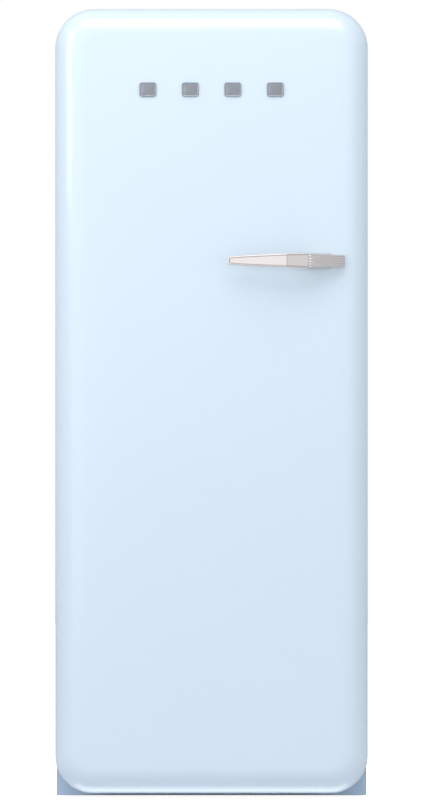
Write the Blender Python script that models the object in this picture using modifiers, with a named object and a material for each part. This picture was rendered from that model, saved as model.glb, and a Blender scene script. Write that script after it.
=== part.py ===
"""Single-door refrigerator with an inner freezer compartment at the top, as an assembly of separate pieces.

Metres. X runs across the front, Y from the front (-) to the back (+), Z up from the floor.
The door is hinged on the left side and its lever handle is on the right.
"""

import math

import bmesh
import bpy
from mathutils import Matrix, Vector

# Driving dimensions
WIDTH = 0.601
HEIGHT = 1.527
DEPTH = 0.728  # handle and rear spacers included
HANDLE_PROUD = 0.046
DOOR_THICKNESS = 0.130
GASKET_GAP = 0.012  # between the door's back and the cabinet's front, filled by the seal
CONDENSER_SPACE = 0.030  # behind the cabinet
FLOOR_GAP = 0.008
DOOR_LIFT = 0.012  # the door's lower edge above the cabinet's
TOP_RADIUS = 0.076  # corners of the door and cabinet, seen from the front
BOTTOM_RADIUS = 0.072
SQUARE = 0.001  # radius of a corner that is nearly square
EDGE_RADIUS = 0.052  # roll of the door's face into its sides
CROWN = 0.005  # bulge of the door's face
SHEET = 0.0012  # painted steel
PLASTIC = 0.002
GAP = 0.0003  # between pieces that touch

# Planes worked out from them
HALF = WIDTH / 2
DOOR_FRONT = -DEPTH / 2 + HANDLE_PROUD
DOOR_FACE = DOOR_FRONT + CROWN
DOOR_BACK = DOOR_FRONT + DOOR_THICKNESS
CABINET_FRONT = DOOR_BACK + GASKET_GAP
CABINET_BACK = DEPTH / 2 - CONDENSER_SPACE
DOOR_BOTTOM = FLOOR_GAP + DOOR_LIFT
DOOR_MIDDLE = (DOOR_BOTTOM + HEIGHT) / 2
INSIDE = HALF - SHEET - GAP  # room between the shell's walls, halved

# Food compartment: the liner's outer faces
WALL = 0.056
LINER_X = HALF - WALL
LINER_FLOOR = 0.105
LINER_TOP = 1.440
LINER_BACK = CABINET_BACK - 0.055
FOAM_FLOOR = 0.045

# Machine bay under the step in the liner
BAY_FRONT = 0.165
BAY_TOP = 0.250
STEP_FRONT = BAY_FRONT - 0.045
STEP_TOP = BAY_TOP + 0.045

# Hinge of the door
HINGE_X = -HALF + 0.020
HINGE_Y = DOOR_BACK - 0.027
PIN_RADIUS = 0.005
BUSH_BORE = 0.0057
BUSH_RADIUS = 0.009
TOP_PLATE = 1.472  # lower face of the top hinge plate
BOTTOM_PLATE = 0.063
PLATE = 0.005

# Inside the food compartment
STORE_FRONT = -0.070  # front of shelves and drawers
SHELF_X = LINER_X - PLASTIC - 0.002
SHELF_BACK = LINER_BACK - 0.008
GLASS = 0.004
SHELF_UPPER = 0.960
SHELF_MIDDLE = 0.780
RACK_HEIGHT = 0.600
CHILL_COVER = 0.440
CRISPER_COVER = 0.300
LEDGE = 0.006
FREEZER_BOTTOM = 1.200
FREEZER_FRONT = -0.050
FLAP_THICKNESS = 0.018
FLAP_HINGE_X = -SHELF_X + FLAP_THICKNESS / 2
FLAP_HINGE_Y = FREEZER_FRONT - GAP - FLAP_THICKNESS / 2

# Inside of the door
DYKE_X = 0.222
DYKE_BOTTOM = 0.130
DYKE_TOP = 1.415
DYKE_WIDTH = 0.024
DYKE_RISE = 0.045
DRAFT = 0.006
BIN_X = 0.186
BIN_BACK = DOOR_BACK + 0.0085
BIN_FRONT = -0.096
LID_HINGE_Y = BIN_BACK + 0.004
LID_HINGE_Z = 1.2605

parts = None
cutters = None
materials = {}


def clear_scene():
    for obj in list(bpy.data.objects):
        bpy.data.objects.remove(obj, do_unlink=True)


def new_collection(name):
    collection = bpy.data.collections.new(name)
    bpy.context.scene.collection.children.link(collection)
    return collection


def srgb(code):
    """A hex colour as linear red, green and blue."""
    channels = [int(code[i : i + 2], 16) / 255 for i in (0, 2, 4)]
    return [c / 12.92 if c <= 0.04045 else ((c + 0.055) / 1.055) ** 2.4 for c in channels]


def make_materials():
    table = {
        "blue_enamel": ("cfe2f0", 0.12, 0.0, 1.0),
        "chrome": ("d8d2d0", 0.12, 1.0, 1.0),
        "white_plastic": ("f1f3f4", 0.35, 0.0, 1.0),
        "clear_plastic": ("e6f1f6", 0.10, 0.0, 0.35),
        "shelf_glass": ("dcefe9", 0.04, 0.0, 0.30),
        "grey_rubber": ("b9bdc0", 0.75, 0.0, 1.0),
        "black_paint": ("1c1d1f", 0.45, 0.2, 1.0),
        "black_plastic": ("1c1d1f", 0.60, 0.0, 1.0),
        "black_rubber": ("18191a", 0.80, 0.0, 1.0),
        "zinc_steel": ("9fa4a8", 0.40, 1.0, 1.0),
        "foam": ("e9dcb4", 0.90, 0.0, 1.0),
        "copper": ("b9724b", 0.30, 1.0, 1.0),
        "aluminium": ("c9ccce", 0.35, 1.0, 1.0),
    }
    for name, (code, roughness, metallic, alpha) in table.items():
        made = bpy.data.materials.new(name)
        made.use_nodes = True
        shader = made.node_tree.nodes["Principled BSDF"]
        shader.inputs["Base Color"].default_value = (*srgb(code), 1.0)
        shader.inputs["Roughness"].default_value = roughness
        shader.inputs["Metallic"].default_value = metallic
        shader.inputs["Alpha"].default_value = alpha
        materials[name] = made


def place(name, bm, material, origin=(0, 0, 0)):
    """Makes an object of a bmesh that is in world coordinates, with the object's origin at the point given."""
    bmesh.ops.recalc_face_normals(bm, faces=bm.faces)
    bmesh.ops.translate(bm, verts=bm.verts, vec=-Vector(origin))
    mesh = bpy.data.meshes.new(name)
    bm.to_mesh(mesh)
    bm.free()
    obj = bpy.data.objects.new(name, mesh)
    obj.location = origin
    if material is None:
        obj.hide_render = True
        obj.display_type = "WIRE"
        cutters.objects.link(obj)
    else:
        mesh.materials.append(materials[material])
        mesh.shade_smooth()
        mesh.set_sharp_from_angle(angle=math.radians(35))
        parts.objects.link(obj)
    return obj


def solidify(obj, thickness, outward=False):
    modifier = obj.modifiers.new("wall", "SOLIDIFY")
    modifier.thickness = thickness
    modifier.offset = 1.0 if outward else -1.0
    modifier.use_even_offset = True
    return obj


def combine(obj, other, operation):
    modifier = obj.modifiers.new(operation.lower(), "BOOLEAN")
    modifier.operation = operation
    modifier.solver = "EXACT"
    modifier.object = other
    return obj


def cut(obj, *forms):
    for form in forms:
        combine(obj, form, "DIFFERENCE")
    return obj


def join(obj, *forms):
    for form in forms:
        combine(obj, form, "UNION")
    return obj


def block(lo, hi, radius=0.0, steps=2, rounded=lambda edge: True):
    """A box between two corners, with the edges that the test picks rounded."""
    bm = bmesh.new()
    lo, hi = Vector(lo), Vector(hi)
    bmesh.ops.create_cube(bm, size=1.0)
    bmesh.ops.scale(bm, vec=hi - lo, verts=bm.verts)
    bmesh.ops.translate(bm, vec=(lo + hi) / 2, verts=bm.verts)
    if radius:
        edges = [edge for edge in bm.edges if rounded(edge)]
        bmesh.ops.bevel(bm, geom=edges, offset=radius, segments=steps, profile=0.5, affect="EDGES")
    return bm


def along(axis):
    """An edge test: is the edge parallel to this axis?"""

    def test(edge):
        direction = (edge.verts[1].co - edge.verts[0].co).normalized()
        return abs(direction[axis]) > 0.99

    return test


def faces_at(bm, axis, value):
    return [face for face in bm.faces if all(abs(v.co[axis] - value) < 1e-5 for v in face.verts)]


def open_at(bm, axis, value):
    """Takes away the faces that lie on one plane."""
    bmesh.ops.delete(bm, geom=faces_at(bm, axis, value), context="FACES")
    return bm


def rounded_rectangle(x0, x1, z0, z1, bottom, top, steps=6):
    """Outline with round corners, counter-clockwise from the lower left, as (x, z)."""
    corners = [
        (x0 + bottom, z0 + bottom, bottom, 180),
        (x1 - bottom, z0 + bottom, bottom, 270),
        (x1 - top, z1 - top, top, 0),
        (x0 + top, z1 - top, top, 90),
    ]
    points = []
    for x, z, radius, start in corners:
        for i in range(steps + 1):
            angle = math.radians(start + 90 * i / steps)
            points.append((x + radius * math.cos(angle), z + radius * math.sin(angle)))
    return points


def prism(outline, start, end, axis=1):
    """An outline pushed along an axis. On axis 1 it is given as (x, z), on axis 0 as (y, z), on axis 2 as (x, y)."""
    bm = bmesh.new()
    order = {0: lambda u, v: (start, u, v), 1: lambda u, v: (u, start, v), 2: lambda u, v: (u, v, start)}[axis]
    face = bm.faces.new([bm.verts.new(order(u, v)) for u, v in outline])
    made = bmesh.ops.extrude_face_region(bm, geom=[face])
    push = Vector((0, 0, 0))
    push[axis] = end - start
    bmesh.ops.translate(bm, vec=push, verts=[g for g in made["geom"] if isinstance(g, bmesh.types.BMVert)])
    return bm


def loft(rings, close_start=False, close_end=False):
    """Skins rings that have the same number of points."""
    bm = bmesh.new()
    rows = [[bm.verts.new(point) for point in ring] for ring in rings]
    count = len(rows[0])
    for near, far in zip(rows, rows[1:]):
        for i in range(count):
            bm.faces.new((near[i], near[(i + 1) % count], far[(i + 1) % count], far[i]))
    if close_start:
        bm.faces.new(rows[0])
    if close_end:
        bm.faces.new(rows[-1])
    return bm


def picture_frame(outer, inner, y0, y1):
    """A flat ring between two outlines of the same number of points."""
    bm = loft([[(x, y, z) for x, z in ring] for ring, y in ((outer, y0), (outer, y1), (inner, y1), (inner, y0))])
    bm.verts.ensure_lookup_table()
    count = len(outer)
    first, last = bm.verts[:count], bm.verts[3 * count :]
    for i in range(count):
        bm.faces.new((first[i], last[i], last[(i + 1) % count], first[(i + 1) % count]))
    return bm


def turned(name, profile, material, centre, axis="Z", steps=16, closed=False, squash=1.0):
    """A profile of (radius, height), running down its outer side, turned about an axis through the centre."""
    mesh = bpy.data.meshes.new(name)
    edges = [(i, i + 1) for i in range(len(profile) - 1)]
    if closed:
        edges.append((len(profile) - 1, 0))
    mesh.from_pydata([(r, 0, h) for r, h in profile], edges, [])
    obj = bpy.data.objects.new(name, mesh)
    mesh.materials.append(materials[material])
    parts.objects.link(obj)
    obj.location = centre
    obj.scale = (squash, 1.0, 1.0)
    obj.rotation_euler = {"X": (0, math.pi / 2, 0), "Y": (-math.pi / 2, 0, 0), "Z": (0, 0, 0)}[axis]
    screw = obj.modifiers.new("turn", "SCREW")
    screw.steps = steps
    screw.render_steps = steps
    screw.use_merge_vertices = True
    screw.merge_threshold = 0.0001
    return obj


def tube(name, points, radius, material):
    """A pipe along points."""
    curve = bpy.data.curves.new(name, "CURVE")
    curve.dimensions = "3D"
    curve.bevel_depth = radius
    curve.bevel_resolution = 2
    curve.use_fill_caps = True
    spline = curve.splines.new("POLY")
    spline.points.add(len(points) - 1)
    for target, point in zip(spline.points, points):
        target.co = (*point, 1.0)
    curve.materials.append(materials[material])
    obj = bpy.data.objects.new(name, curve)
    parts.objects.link(obj)
    return obj


def rod(start, end, radius, sides=8):
    """A straight round bar as a bmesh."""
    bm = bmesh.new()
    start, end = Vector(start), Vector(end)
    span = end - start
    turn = span.to_track_quat("Z", "Y").to_matrix().to_4x4()
    bmesh.ops.create_cone(
        bm,
        cap_ends=True,
        segments=sides,
        radius1=radius,
        radius2=radius,
        depth=span.length,
        matrix=Matrix.Translation((start + end) / 2) @ turn,
    )
    return bm


def tray(name, lo, hi, material, wall=0.0025, radius=0.010):
    """A bin that is open at its top."""
    bm = block(lo, hi, radius, 2, lambda edge: min(v.co.z for v in edge.verts) < hi[2] - 1e-5)
    return solidify(place(name, open_at(bm, 2, hi[2]), material), wall)


def door_rings(grow, back, inner=(0.75, 0.45, 0.15)):
    """Rings of the pillow-shaped door from its back to its face. Grow moves the surface out, or in if negative."""
    rows = [(-grow, back)]
    arc_steps = 6
    for i in range(arc_steps + 1):
        angle = math.radians(90 * i / arc_steps)
        reach = EDGE_RADIUS + grow
        rows.append((EDGE_RADIUS - reach * math.cos(angle), DOOR_FACE + EDGE_RADIUS - reach * math.sin(angle)))
    rings = []
    for inset, y in rows:
        outline = rounded_rectangle(
            -HALF + inset,
            HALF - inset,
            DOOR_BOTTOM + inset,
            HEIGHT - inset,
            BOTTOM_RADIUS - inset,
            TOP_RADIUS - inset,
        )
        rings.append([(x, y - (crown(x, z) if y < back else 0), z) for x, z in outline])
    edge = rings[-1]
    for share in inner:
        ring = []
        for x, _, z in edge:
            x, z = x * share, DOOR_MIDDLE + (z - DOOR_MIDDLE) * share
            ring.append((x, DOOR_FACE - grow - crown(x, z), z))
        rings.append(ring)
    return rings


def crown(x, z):
    """How far the door's face bulges at a point: most in its middle, nothing at its edges."""
    across = 1 - (x / HALF) ** 2
    upward = 1 - ((z - DOOR_MIDDLE) / (HEIGHT - DOOR_MIDDLE)) ** 2
    return CROWN * max(across, 0) * max(upward, 0)


# Cabinet


def cabinet_outline(inset, bottom):
    return rounded_rectangle(-HALF + inset, HALF - inset, bottom, HEIGHT - inset, SQUARE, TOP_RADIUS - inset, 8)


def cabinet_shell():
    """One painted sheet, folded over both sides and the top."""
    bm = prism(cabinet_outline(0, FLOOR_GAP), CABINET_FRONT, CABINET_BACK)
    open_at(bm, 1, CABINET_FRONT)
    open_at(bm, 1, CABINET_BACK)
    low = [face for face in bm.faces if max(v.co.z for v in face.verts) < FLOOR_GAP + 2 * SQUARE]
    bmesh.ops.delete(bm, geom=low, context="FACES")
    solidify(place("cabinet_shell", bm, "blue_enamel"), SHEET)


def cabinet_front_frame():
    """Painted steel frame that the door's seal closes on."""
    outer = cabinet_outline(SHEET + GAP, FLOOR_GAP)
    inner = rounded_rectangle(-LINER_X, LINER_X, LINER_FLOOR, LINER_TOP, 0.012, 0.012, 8)
    frame = picture_frame(outer, inner, CABINET_FRONT, CABINET_FRONT + SHEET)
    place("cabinet_front_frame", frame, "blue_enamel")


def compartment_form(name, grow, front):
    """The food compartment's volume, with the step over the machine bay."""
    outline = [
        (front, LINER_FLOOR - grow),
        (STEP_FRONT + grow, LINER_FLOOR - grow),
        (STEP_FRONT + grow, STEP_TOP - grow),
        (LINER_BACK + grow, STEP_TOP - grow),
        (LINER_BACK + grow, LINER_TOP + grow),
        (front, LINER_TOP + grow),
    ]
    bm = prism(outline, -LINER_X - grow, LINER_X + grow, axis=0)
    notch = Vector((STEP_FRONT + grow, STEP_TOP - grow))

    def round_it(edge):
        clear_of_notch = all((v.co.yz - notch).length > 1e-4 for v in edge.verts)
        return clear_of_notch and max(v.co.y for v in edge.verts) > front + 1e-4

    edges = [edge for edge in bm.edges if round_it(edge)]
    bmesh.ops.bevel(bm, geom=edges, offset=0.012, segments=2, profile=0.5, affect="EDGES")
    return bm


def cabinet_foam():
    bm = prism(cabinet_outline(SHEET + GAP, FOAM_FLOOR), CABINET_FRONT + SHEET + GAP, CABINET_BACK - SHEET - GAP)
    foam = place("cabinet_foam", bm, "foam")
    hollow = place("compartment_cutter", compartment_form("hollow", GAP, CABINET_FRONT - 0.02), None)
    bay = place("bay_cutter", block((-HALF, BAY_FRONT, 0), (HALF, CABINET_BACK + 0.02, BAY_TOP)), None)
    cut(foam, hollow, bay)


def shelf_levels():
    """Undersides of what rests on the liner's ledges."""
    return (SHELF_UPPER, SHELF_MIDDLE, RACK_HEIGHT, CHILL_COVER, CRISPER_COVER)


def cabinet_liner():
    front = CABINET_FRONT + SHEET + GAP
    bm = open_at(compartment_form("liner", 0, front), 1, front)
    liner = solidify(place("cabinet_liner", bm, "white_plastic"), PLASTIC)
    for side in (-1, 1):
        wall = side * (LINER_X - PLASTIC / 2)
        edge = side * (LINER_X - PLASTIC - 0.008)
        for number, level in enumerate(shelf_levels()):
            lo = (min(wall, edge), STORE_FRONT + 0.012, level - GAP - LEDGE)
            hi = (max(wall, edge), STEP_FRONT - 0.006, level - GAP)
            join(liner, place(f"ledge_{side}_{number}", block(lo, hi), None))


def back_panel():
    outline = rounded_rectangle(-INSIDE, INSIDE, BAY_TOP + 0.004, HEIGHT - SHEET - GAP, SQUARE, TOP_RADIUS - SHEET, 8)
    place("back_panel", prism(outline, CABINET_BACK - SHEET, CABINET_BACK), "zinc_steel")


def machine_bay_panel():
    """Folded sheet that closes the foam off from the machine bay."""
    y0, y1 = BAY_FRONT + GAP, CABINET_BACK - GAP
    top = BAY_TOP - GAP
    outline = [
        (y0, FOAM_FLOOR),
        (y0 + SHEET, FOAM_FLOOR),
        (y0 + SHEET, top - SHEET),
        (y1, top - SHEET),
        (y1, top),
        (y0, top),
    ]
    place("machine_bay_panel", prism(outline, -INSIDE, INSIDE, axis=0), "zinc_steel")


FOOT_X = 0.245
FOOT_Y = -0.055
STEM_RADIUS = 0.005


def base_pan():
    lo = (-INSIDE, CABINET_FRONT + SHEET + GAP, FLOOR_GAP + GAP)
    hi = (INSIDE, BAY_FRONT - 0.005, FLOOR_GAP + GAP + 0.002)
    pan = place("base_pan", block(lo, hi), "zinc_steel")
    for side in (-1, 1):
        centre = side * FOOT_X
        hole = rod((centre, FOOT_Y, 0), (centre, FOOT_Y, 0.03), STEM_RADIUS + 0.001, 16)
        cut(pan, place(f"foot_hole_{side}", hole, None))


def feet():
    profile = [
        (0.0, 0.040),
        (STEM_RADIUS, 0.040),
        (STEM_RADIUS, FLOOR_GAP - GAP),
        (0.018, FLOOR_GAP - GAP),
        (0.018, 0.002),
        (0.016, 0.0),
        (0.0, 0.0),
    ]
    for name, side in (("foot_left", -1), ("foot_right", 1)):
        turned(name, profile, "grey_rubber", (side * FOOT_X, FOOT_Y, 0))


ROLLER_RADIUS = 0.009
ROLLER_X = 0.262
ROLLER_Y = 0.300
RAIL_Z = 0.0205


def rollers():
    half = 0.007
    for name, side in (("left", -1), ("right", 1)):
        x = side * ROLLER_X
        profile = [(0.0036, half), (ROLLER_RADIUS, half), (ROLLER_RADIUS, -half), (0.0036, -half)]
        turned(f"roller_{name}", profile, "white_plastic", (x, ROLLER_Y, ROLLER_RADIUS), "X", 16, closed=True)
        outer = half + 0.0035
        low, top = 0.005, RAIL_Z - GAP
        outline = [
            (x - outer, top),
            (x - outer, low),
            (x - outer + 0.002, low),
            (x - outer + 0.002, top - 0.0012),
            (x + outer - 0.002, top - 0.0012),
            (x + outer - 0.002, low),
            (x + outer, low),
            (x + outer, top),
        ]
        bracket = place(f"roller_bracket_{name}", prism(outline, ROLLER_Y - 0.012, ROLLER_Y + 0.012), "zinc_steel")
        ends = [(x + s * (outer - 0.0005), ROLLER_Y, ROLLER_RADIUS) for s in (-1, 1)]
        join(bracket, place(f"axle_{name}", rod(*ends, 0.003, 10), None))


RAIL_THICKNESS = 0.002
FOOT_PLATE = 0.003
COMPRESSOR = (-0.090, 0.247, RAIL_Z + RAIL_THICKNESS + GAP + FOOT_PLATE)


def machine_bay():
    """Compressor on its cross rail, with the relay on its side and the tray above that takes the defrost water."""
    lo = (-INSIDE, BAY_FRONT + 0.004, RAIL_Z)
    place("compressor_rail", block(lo, (INSIDE, CABINET_BACK - 0.004, RAIL_Z + RAIL_THICKNESS)), "zinc_steel")
    x, y, z = COMPRESSOR
    lo = (x - 0.100, y - 0.060, z - FOOT_PLATE)
    place("compressor_foot_plate", block(lo, (x + 0.100, y + 0.060, z)), "black_paint")
    shell = [
        (0.0, 0.150),
        (0.030, 0.147),
        (0.050, 0.137),
        (0.062, 0.118),
        (0.066, 0.094),
        (0.066, 0.080),
        (0.070, 0.078),
        (0.070, 0.073),
        (0.066, 0.071),
        (0.064, 0.040),
        (0.052, 0.016),
        (0.030, 0.004),
        (0.0, GAP),
    ]
    turned("compressor", shell, "black_paint", COMPRESSOR, steps=20, squash=1.25)
    tray("evaporation_tray", (x - 0.080, y - 0.055, z + 0.154), (x + 0.080, y + 0.055, z + 0.190), "white_plastic")
    lo = (x + 0.0885, y - 0.022, z + 0.030)
    place("starter_relay", block(lo, (x + 0.120, y + 0.022, z + 0.080), 0.004), "black_plastic")


def bend(centre, radius, start, end, steps, flat):
    """Points of an arc about a centre, in the plane that the function flat maps (u, v) to."""
    points = []
    for i in range(steps + 1):
        angle = math.radians(start + (end - start) * i / steps)
        points.append(flat(centre[0] + radius * math.cos(angle), centre[1] + radius * math.sin(angle)))
    return points


CONDENSER_Y = CABINET_BACK + 0.018
CONDENSER_X = 0.235
CONDENSER_LOW = 0.360
CONDENSER_PITCH = 0.088
CONDENSER_PASSES = 13
PIPE = 0.003


def condenser_coil():
    """Serpentine pipe, from the bottom left up to the top."""
    radius = CONDENSER_PITCH / 2
    straight = CONDENSER_X - radius
    points = [(-straight, CONDENSER_Y, CONDENSER_LOW)]
    for number in range(CONDENSER_PASSES):
        side = 1 if number % 2 == 0 else -1
        z = CONDENSER_LOW + number * CONDENSER_PITCH
        if number < CONDENSER_PASSES - 1:
            centre = (side * straight, z + radius)
            turn = bend(centre, radius, -90, -90 + side * 180, 5, lambda u, v: (u, CONDENSER_Y, v))
            points.extend(turn)
        else:
            points.append((side * straight, CONDENSER_Y, z))
    tube("condenser_coil", points, PIPE, "black_paint")


def wall_spacers():
    """Plastic stand-offs that hold the condenser and keep the cabinet off the wall."""
    for name, side in (("left", -1), ("right", 1)):
        x = side * 0.262
        lo = (x - 0.012, CABINET_BACK + GAP, 1.330)
        place(f"wall_spacer_{name}", block(lo, (x + 0.012, DEPTH / 2, 1.460), 0.004), "black_plastic")


def pipes():
    x, y, z = COMPRESSOR
    hot = [
        (x - 0.070, y + 0.030, z + 0.110),
        (x - 0.100, y + 0.045, z + 0.120),
        (x - 0.115, y + 0.060, z + 0.150),
        (x - 0.118, y + 0.075, z + 0.170),
        (x - 0.105, y + 0.096, z + 0.215),
        (x - 0.090, CONDENSER_Y, z + 0.275),
        (x - 0.090, CONDENSER_Y, CONDENSER_LOW - 0.012),
    ]
    tube("discharge_pipe", hot, PIPE, "copper")
    cold = [
        (x + 0.060, y + 0.045, z + 0.105),
        (x + 0.090, y + 0.060, z + 0.120),
        (x + 0.110, y + 0.070, z + 0.150),
        (x + 0.125, y + 0.078, z + 0.180),
        (x + 0.130, y + 0.094, z + 0.215),
        (x + 0.130, CABINET_BACK + 0.006, z + 0.300),
        (x + 0.130, CABINET_BACK + 0.006, 1.000),
    ]
    tube("suction_pipe", cold, PIPE, "copper")


def mains_inlet():
    inlet = [(0.0, 0.010), (0.009, 0.010), (0.013, 0.0), (0.013, -0.004), (0.0, -0.004)]
    gland_y = CABINET_BACK + GAP + 0.004
    turned("mains_inlet", inlet, "black_rubber", (0.230, gland_y, 0.290), "Y", 12)


# Door hinge


def hinge_bracket(name, plate_low, pin_up):
    """An angle screwed to the front frame, with a pin riveted in its plate."""
    plate_high = plate_low + PLATE
    front = CABINET_FRONT - GAP
    half = 0.013
    lo = (HINGE_X - half + 0.002, HINGE_Y - half, plate_low)
    bm = block(lo, (HINGE_X + half, front, plate_high), 0.010, 4, along_plate_nose(HINGE_Y - half))
    bracket = place(name, bm, "zinc_steel", (HINGE_X, HINGE_Y, plate_low))
    flange_top = plate_high if pin_up else plate_high + 0.014
    flange_low = plate_low - 0.030 if pin_up else plate_low
    flange = block((HINGE_X - 0.005, front - 0.003, flange_low), (HINGE_X + 0.035, front, flange_top))
    reach = 0.022
    start = plate_high - 0.001 if pin_up else plate_low + 0.001
    end = plate_high + reach if pin_up else plate_low - reach
    pin = rod((HINGE_X, HINGE_Y, start), (HINGE_X, HINGE_Y, end), PIN_RADIUS, 16)
    join(bracket, place(name + "_flange", flange, None), place(name + "_pin", pin, None))


def along_plate_nose(nose):
    """An edge test for the two upright edges at the free end of a hinge plate."""
    upright = along(2)
    return lambda edge: upright(edge) and edge.verts[0].co.y < nose + 1e-4


def hinge_brackets():
    hinge_bracket("hinge_bracket_top", TOP_PLATE, pin_up=False)
    hinge_bracket("hinge_bracket_bottom", BOTTOM_PLATE, pin_up=True)


def hinge_slots():
    """Room in the door's rear left corner for the plates to swing through, and sockets for the bushes."""
    found = []
    for name, low in (("top", TOP_PLATE), ("bottom", BOTTOM_PLATE)):
        lo = (-HALF - 0.01, HINGE_Y - 0.028, low - 0.004)
        slot = block(lo, (HINGE_X + 0.024, DOOR_BACK + 0.01, low + PLATE + 0.004))
        found.append(place(f"hinge_slot_{name}", slot, None))
    return found


def hinge_bushes():
    """Plastic sleeves that turn on the pins."""
    sockets = []
    length = 0.026
    for name, low, high in (
        ("top", TOP_PLATE - 0.0045 - length, TOP_PLATE - 0.0045),
        ("bottom", BOTTOM_PLATE + PLATE + 0.0045, BOTTOM_PLATE + PLATE + 0.0045 + length),
    ):
        middle = (low + high) / 2
        half = length / 2
        profile = [(BUSH_BORE, half), (BUSH_RADIUS, half), (BUSH_RADIUS, -half), (BUSH_BORE, -half)]
        turned(f"hinge_bush_{name}", profile, "white_plastic", (HINGE_X, HINGE_Y, middle), closed=True)
        socket = rod((HINGE_X, HINGE_Y, low - 0.001), (HINGE_X, HINGE_Y, high + 0.001), BUSH_RADIUS + GAP, 16)
        sockets.append(place(f"bush_socket_{name}", socket, None))
    return sockets


# Door


def door_skin(slots):
    skin = place("door_skin", loft(door_rings(0, DOOR_BACK), close_end=True), "blue_enamel")
    solidify(skin, SHEET)
    cut(skin, *slots)


def door_foam(slots, sockets):
    rings = door_rings(-SHEET - GAP, DOOR_BACK - PLASTIC - GAP, inner=(0.5,))
    foam = place("door_foam", loft(rings, close_start=True, close_end=True), "foam")
    cut(foam, *slots, *sockets)


def door_liner(slots):
    """Formed sheet: a flat border, then a raised ring, the dyke, around a shallow well that holds the bins."""
    inset = SHEET + GAP
    outline = rounded_rectangle(
        -HALF + inset,
        HALF - inset,
        DOOR_BOTTOM + inset,
        HEIGHT - inset,
        BOTTOM_RADIUS - inset,
        TOP_RADIUS - inset,
    )

    def ring(x, bottom, top, radius, y):
        return [(u, y, v) for u, v in rounded_rectangle(-x, x, bottom, top, radius, radius)]

    well = DYKE_WIDTH + 2 * DRAFT
    rings = [
        [(x, DOOR_BACK, z) for x, z in outline],
        ring(DYKE_X, DYKE_BOTTOM, DYKE_TOP, 0.030, DOOR_BACK),
        ring(DYKE_X - DRAFT, DYKE_BOTTOM + DRAFT, DYKE_TOP - DRAFT, 0.026, DOOR_BACK + DYKE_RISE),
        ring(
            DYKE_X - DRAFT - DYKE_WIDTH,
            DYKE_BOTTOM + DRAFT + DYKE_WIDTH,
            DYKE_TOP - DRAFT - DYKE_WIDTH,
            0.018,
            DOOR_BACK + DYKE_RISE,
        ),
        ring(DYKE_X - well, DYKE_BOTTOM + well, DYKE_TOP - well, 0.014, DOOR_BACK + 0.006),
    ]
    bm = loft(rings, close_end=True)
    bmesh.ops.recalc_face_normals(bm, faces=bm.faces)
    if max(bm.faces, key=lambda face: face.calc_area()).normal.y < 0:
        bmesh.ops.reverse_faces(bm, faces=bm.faces)
    mesh = bpy.data.meshes.new("door_liner")
    bm.to_mesh(mesh)
    bm.free()
    mesh.materials.append(materials["white_plastic"])
    liner = bpy.data.objects.new("door_liner", mesh)
    parts.objects.link(liner)
    solidify(liner, PLASTIC)
    cut(liner, *slots)


def door_gasket():
    """Magnetic seal around the door's border."""
    outer = rounded_rectangle(-0.279, 0.279, 0.078, 1.467, 0.020, 0.020, 4)
    inner = rounded_rectangle(-0.261, 0.261, 0.096, 1.449, 0.008, 0.008, 4)
    place("door_gasket", picture_frame(outer, inner, DOOR_BACK + GAP, CABINET_FRONT - GAP), "grey_rubber")


HANDLE_Z = 1.041
HANDLE_TIP_X = 0.031
HANDLE_PEAK_X = 0.1435
HANDLE_BASE_X = 0.184
TIP_HALF = 0.0072  # half the bar's height at its tip, and at its base
BASE_HALF = 0.0145
HANDLE_END_X = 0.254


def handle():
    """A lever bar on a ribbed foot. The bar widens from its tip to the foot, and stands clear of the door."""
    front = -DEPTH / 2

    def half_height(x):
        share = (x - HANDLE_TIP_X) / (HANDLE_BASE_X - HANDLE_TIP_X)
        return TIP_HALF + (BASE_HALF - TIP_HALF) * share

    outline = [
        (HANDLE_TIP_X, front + 0.020),
        (HANDLE_TIP_X + 0.003, front + 0.014),
        (HANDLE_PEAK_X, front),
        (HANDLE_BASE_X, front + 0.011),
        (HANDLE_BASE_X, front + 0.034),
        (HANDLE_PEAK_X + 0.018, front + 0.020),
        (HANDLE_PEAK_X, front + 0.013),
        (HANDLE_TIP_X + 0.003, front + 0.023),
    ]
    bm = prism(outline, -1, 1, axis=2)
    for vertex in bm.verts:
        vertex.co.z = HANDLE_Z + vertex.co.z * half_height(vertex.co.x)
    place("handle_bar", bm, "chrome")

    foot = [
        (HANDLE_BASE_X + GAP, front + 0.011),
        (HANDLE_END_X, front + 0.040),
        (HANDLE_END_X, DOOR_FACE + 0.010),
        (HANDLE_BASE_X + GAP, DOOR_FACE + 0.010),
    ]
    base = place("handle_foot", prism(foot, HANDLE_Z - BASE_HALF, HANDLE_Z + BASE_HALF, axis=2), "chrome")
    door = loft(door_rings(GAP, DOOR_BACK), close_start=True, close_end=True)
    cut(base, place("door_form", door, None))


BADGE_Z = 1.3688
BADGE_PITCH = 0.0812
BADGE_WIDTH = 0.032
BADGE_HEIGHT = 0.027


def badges():
    """Four plain metal tablets in a row near the door's top."""
    for number in range(4):
        x = (number - 1.5) * BADGE_PITCH
        surface = DOOR_FACE - crown(x, BADGE_Z) - 0.0010
        w, h = BADGE_WIDTH / 2, BADGE_HEIGHT / 2
        outline = rounded_rectangle(x - w, x + w, BADGE_Z - h, BADGE_Z + h, 0.005, 0.005, 3)
        place(f"badge_{number + 1}", prism(outline, surface - 0.002, surface), "chrome")


RAIL_BEND = 0.016


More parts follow.
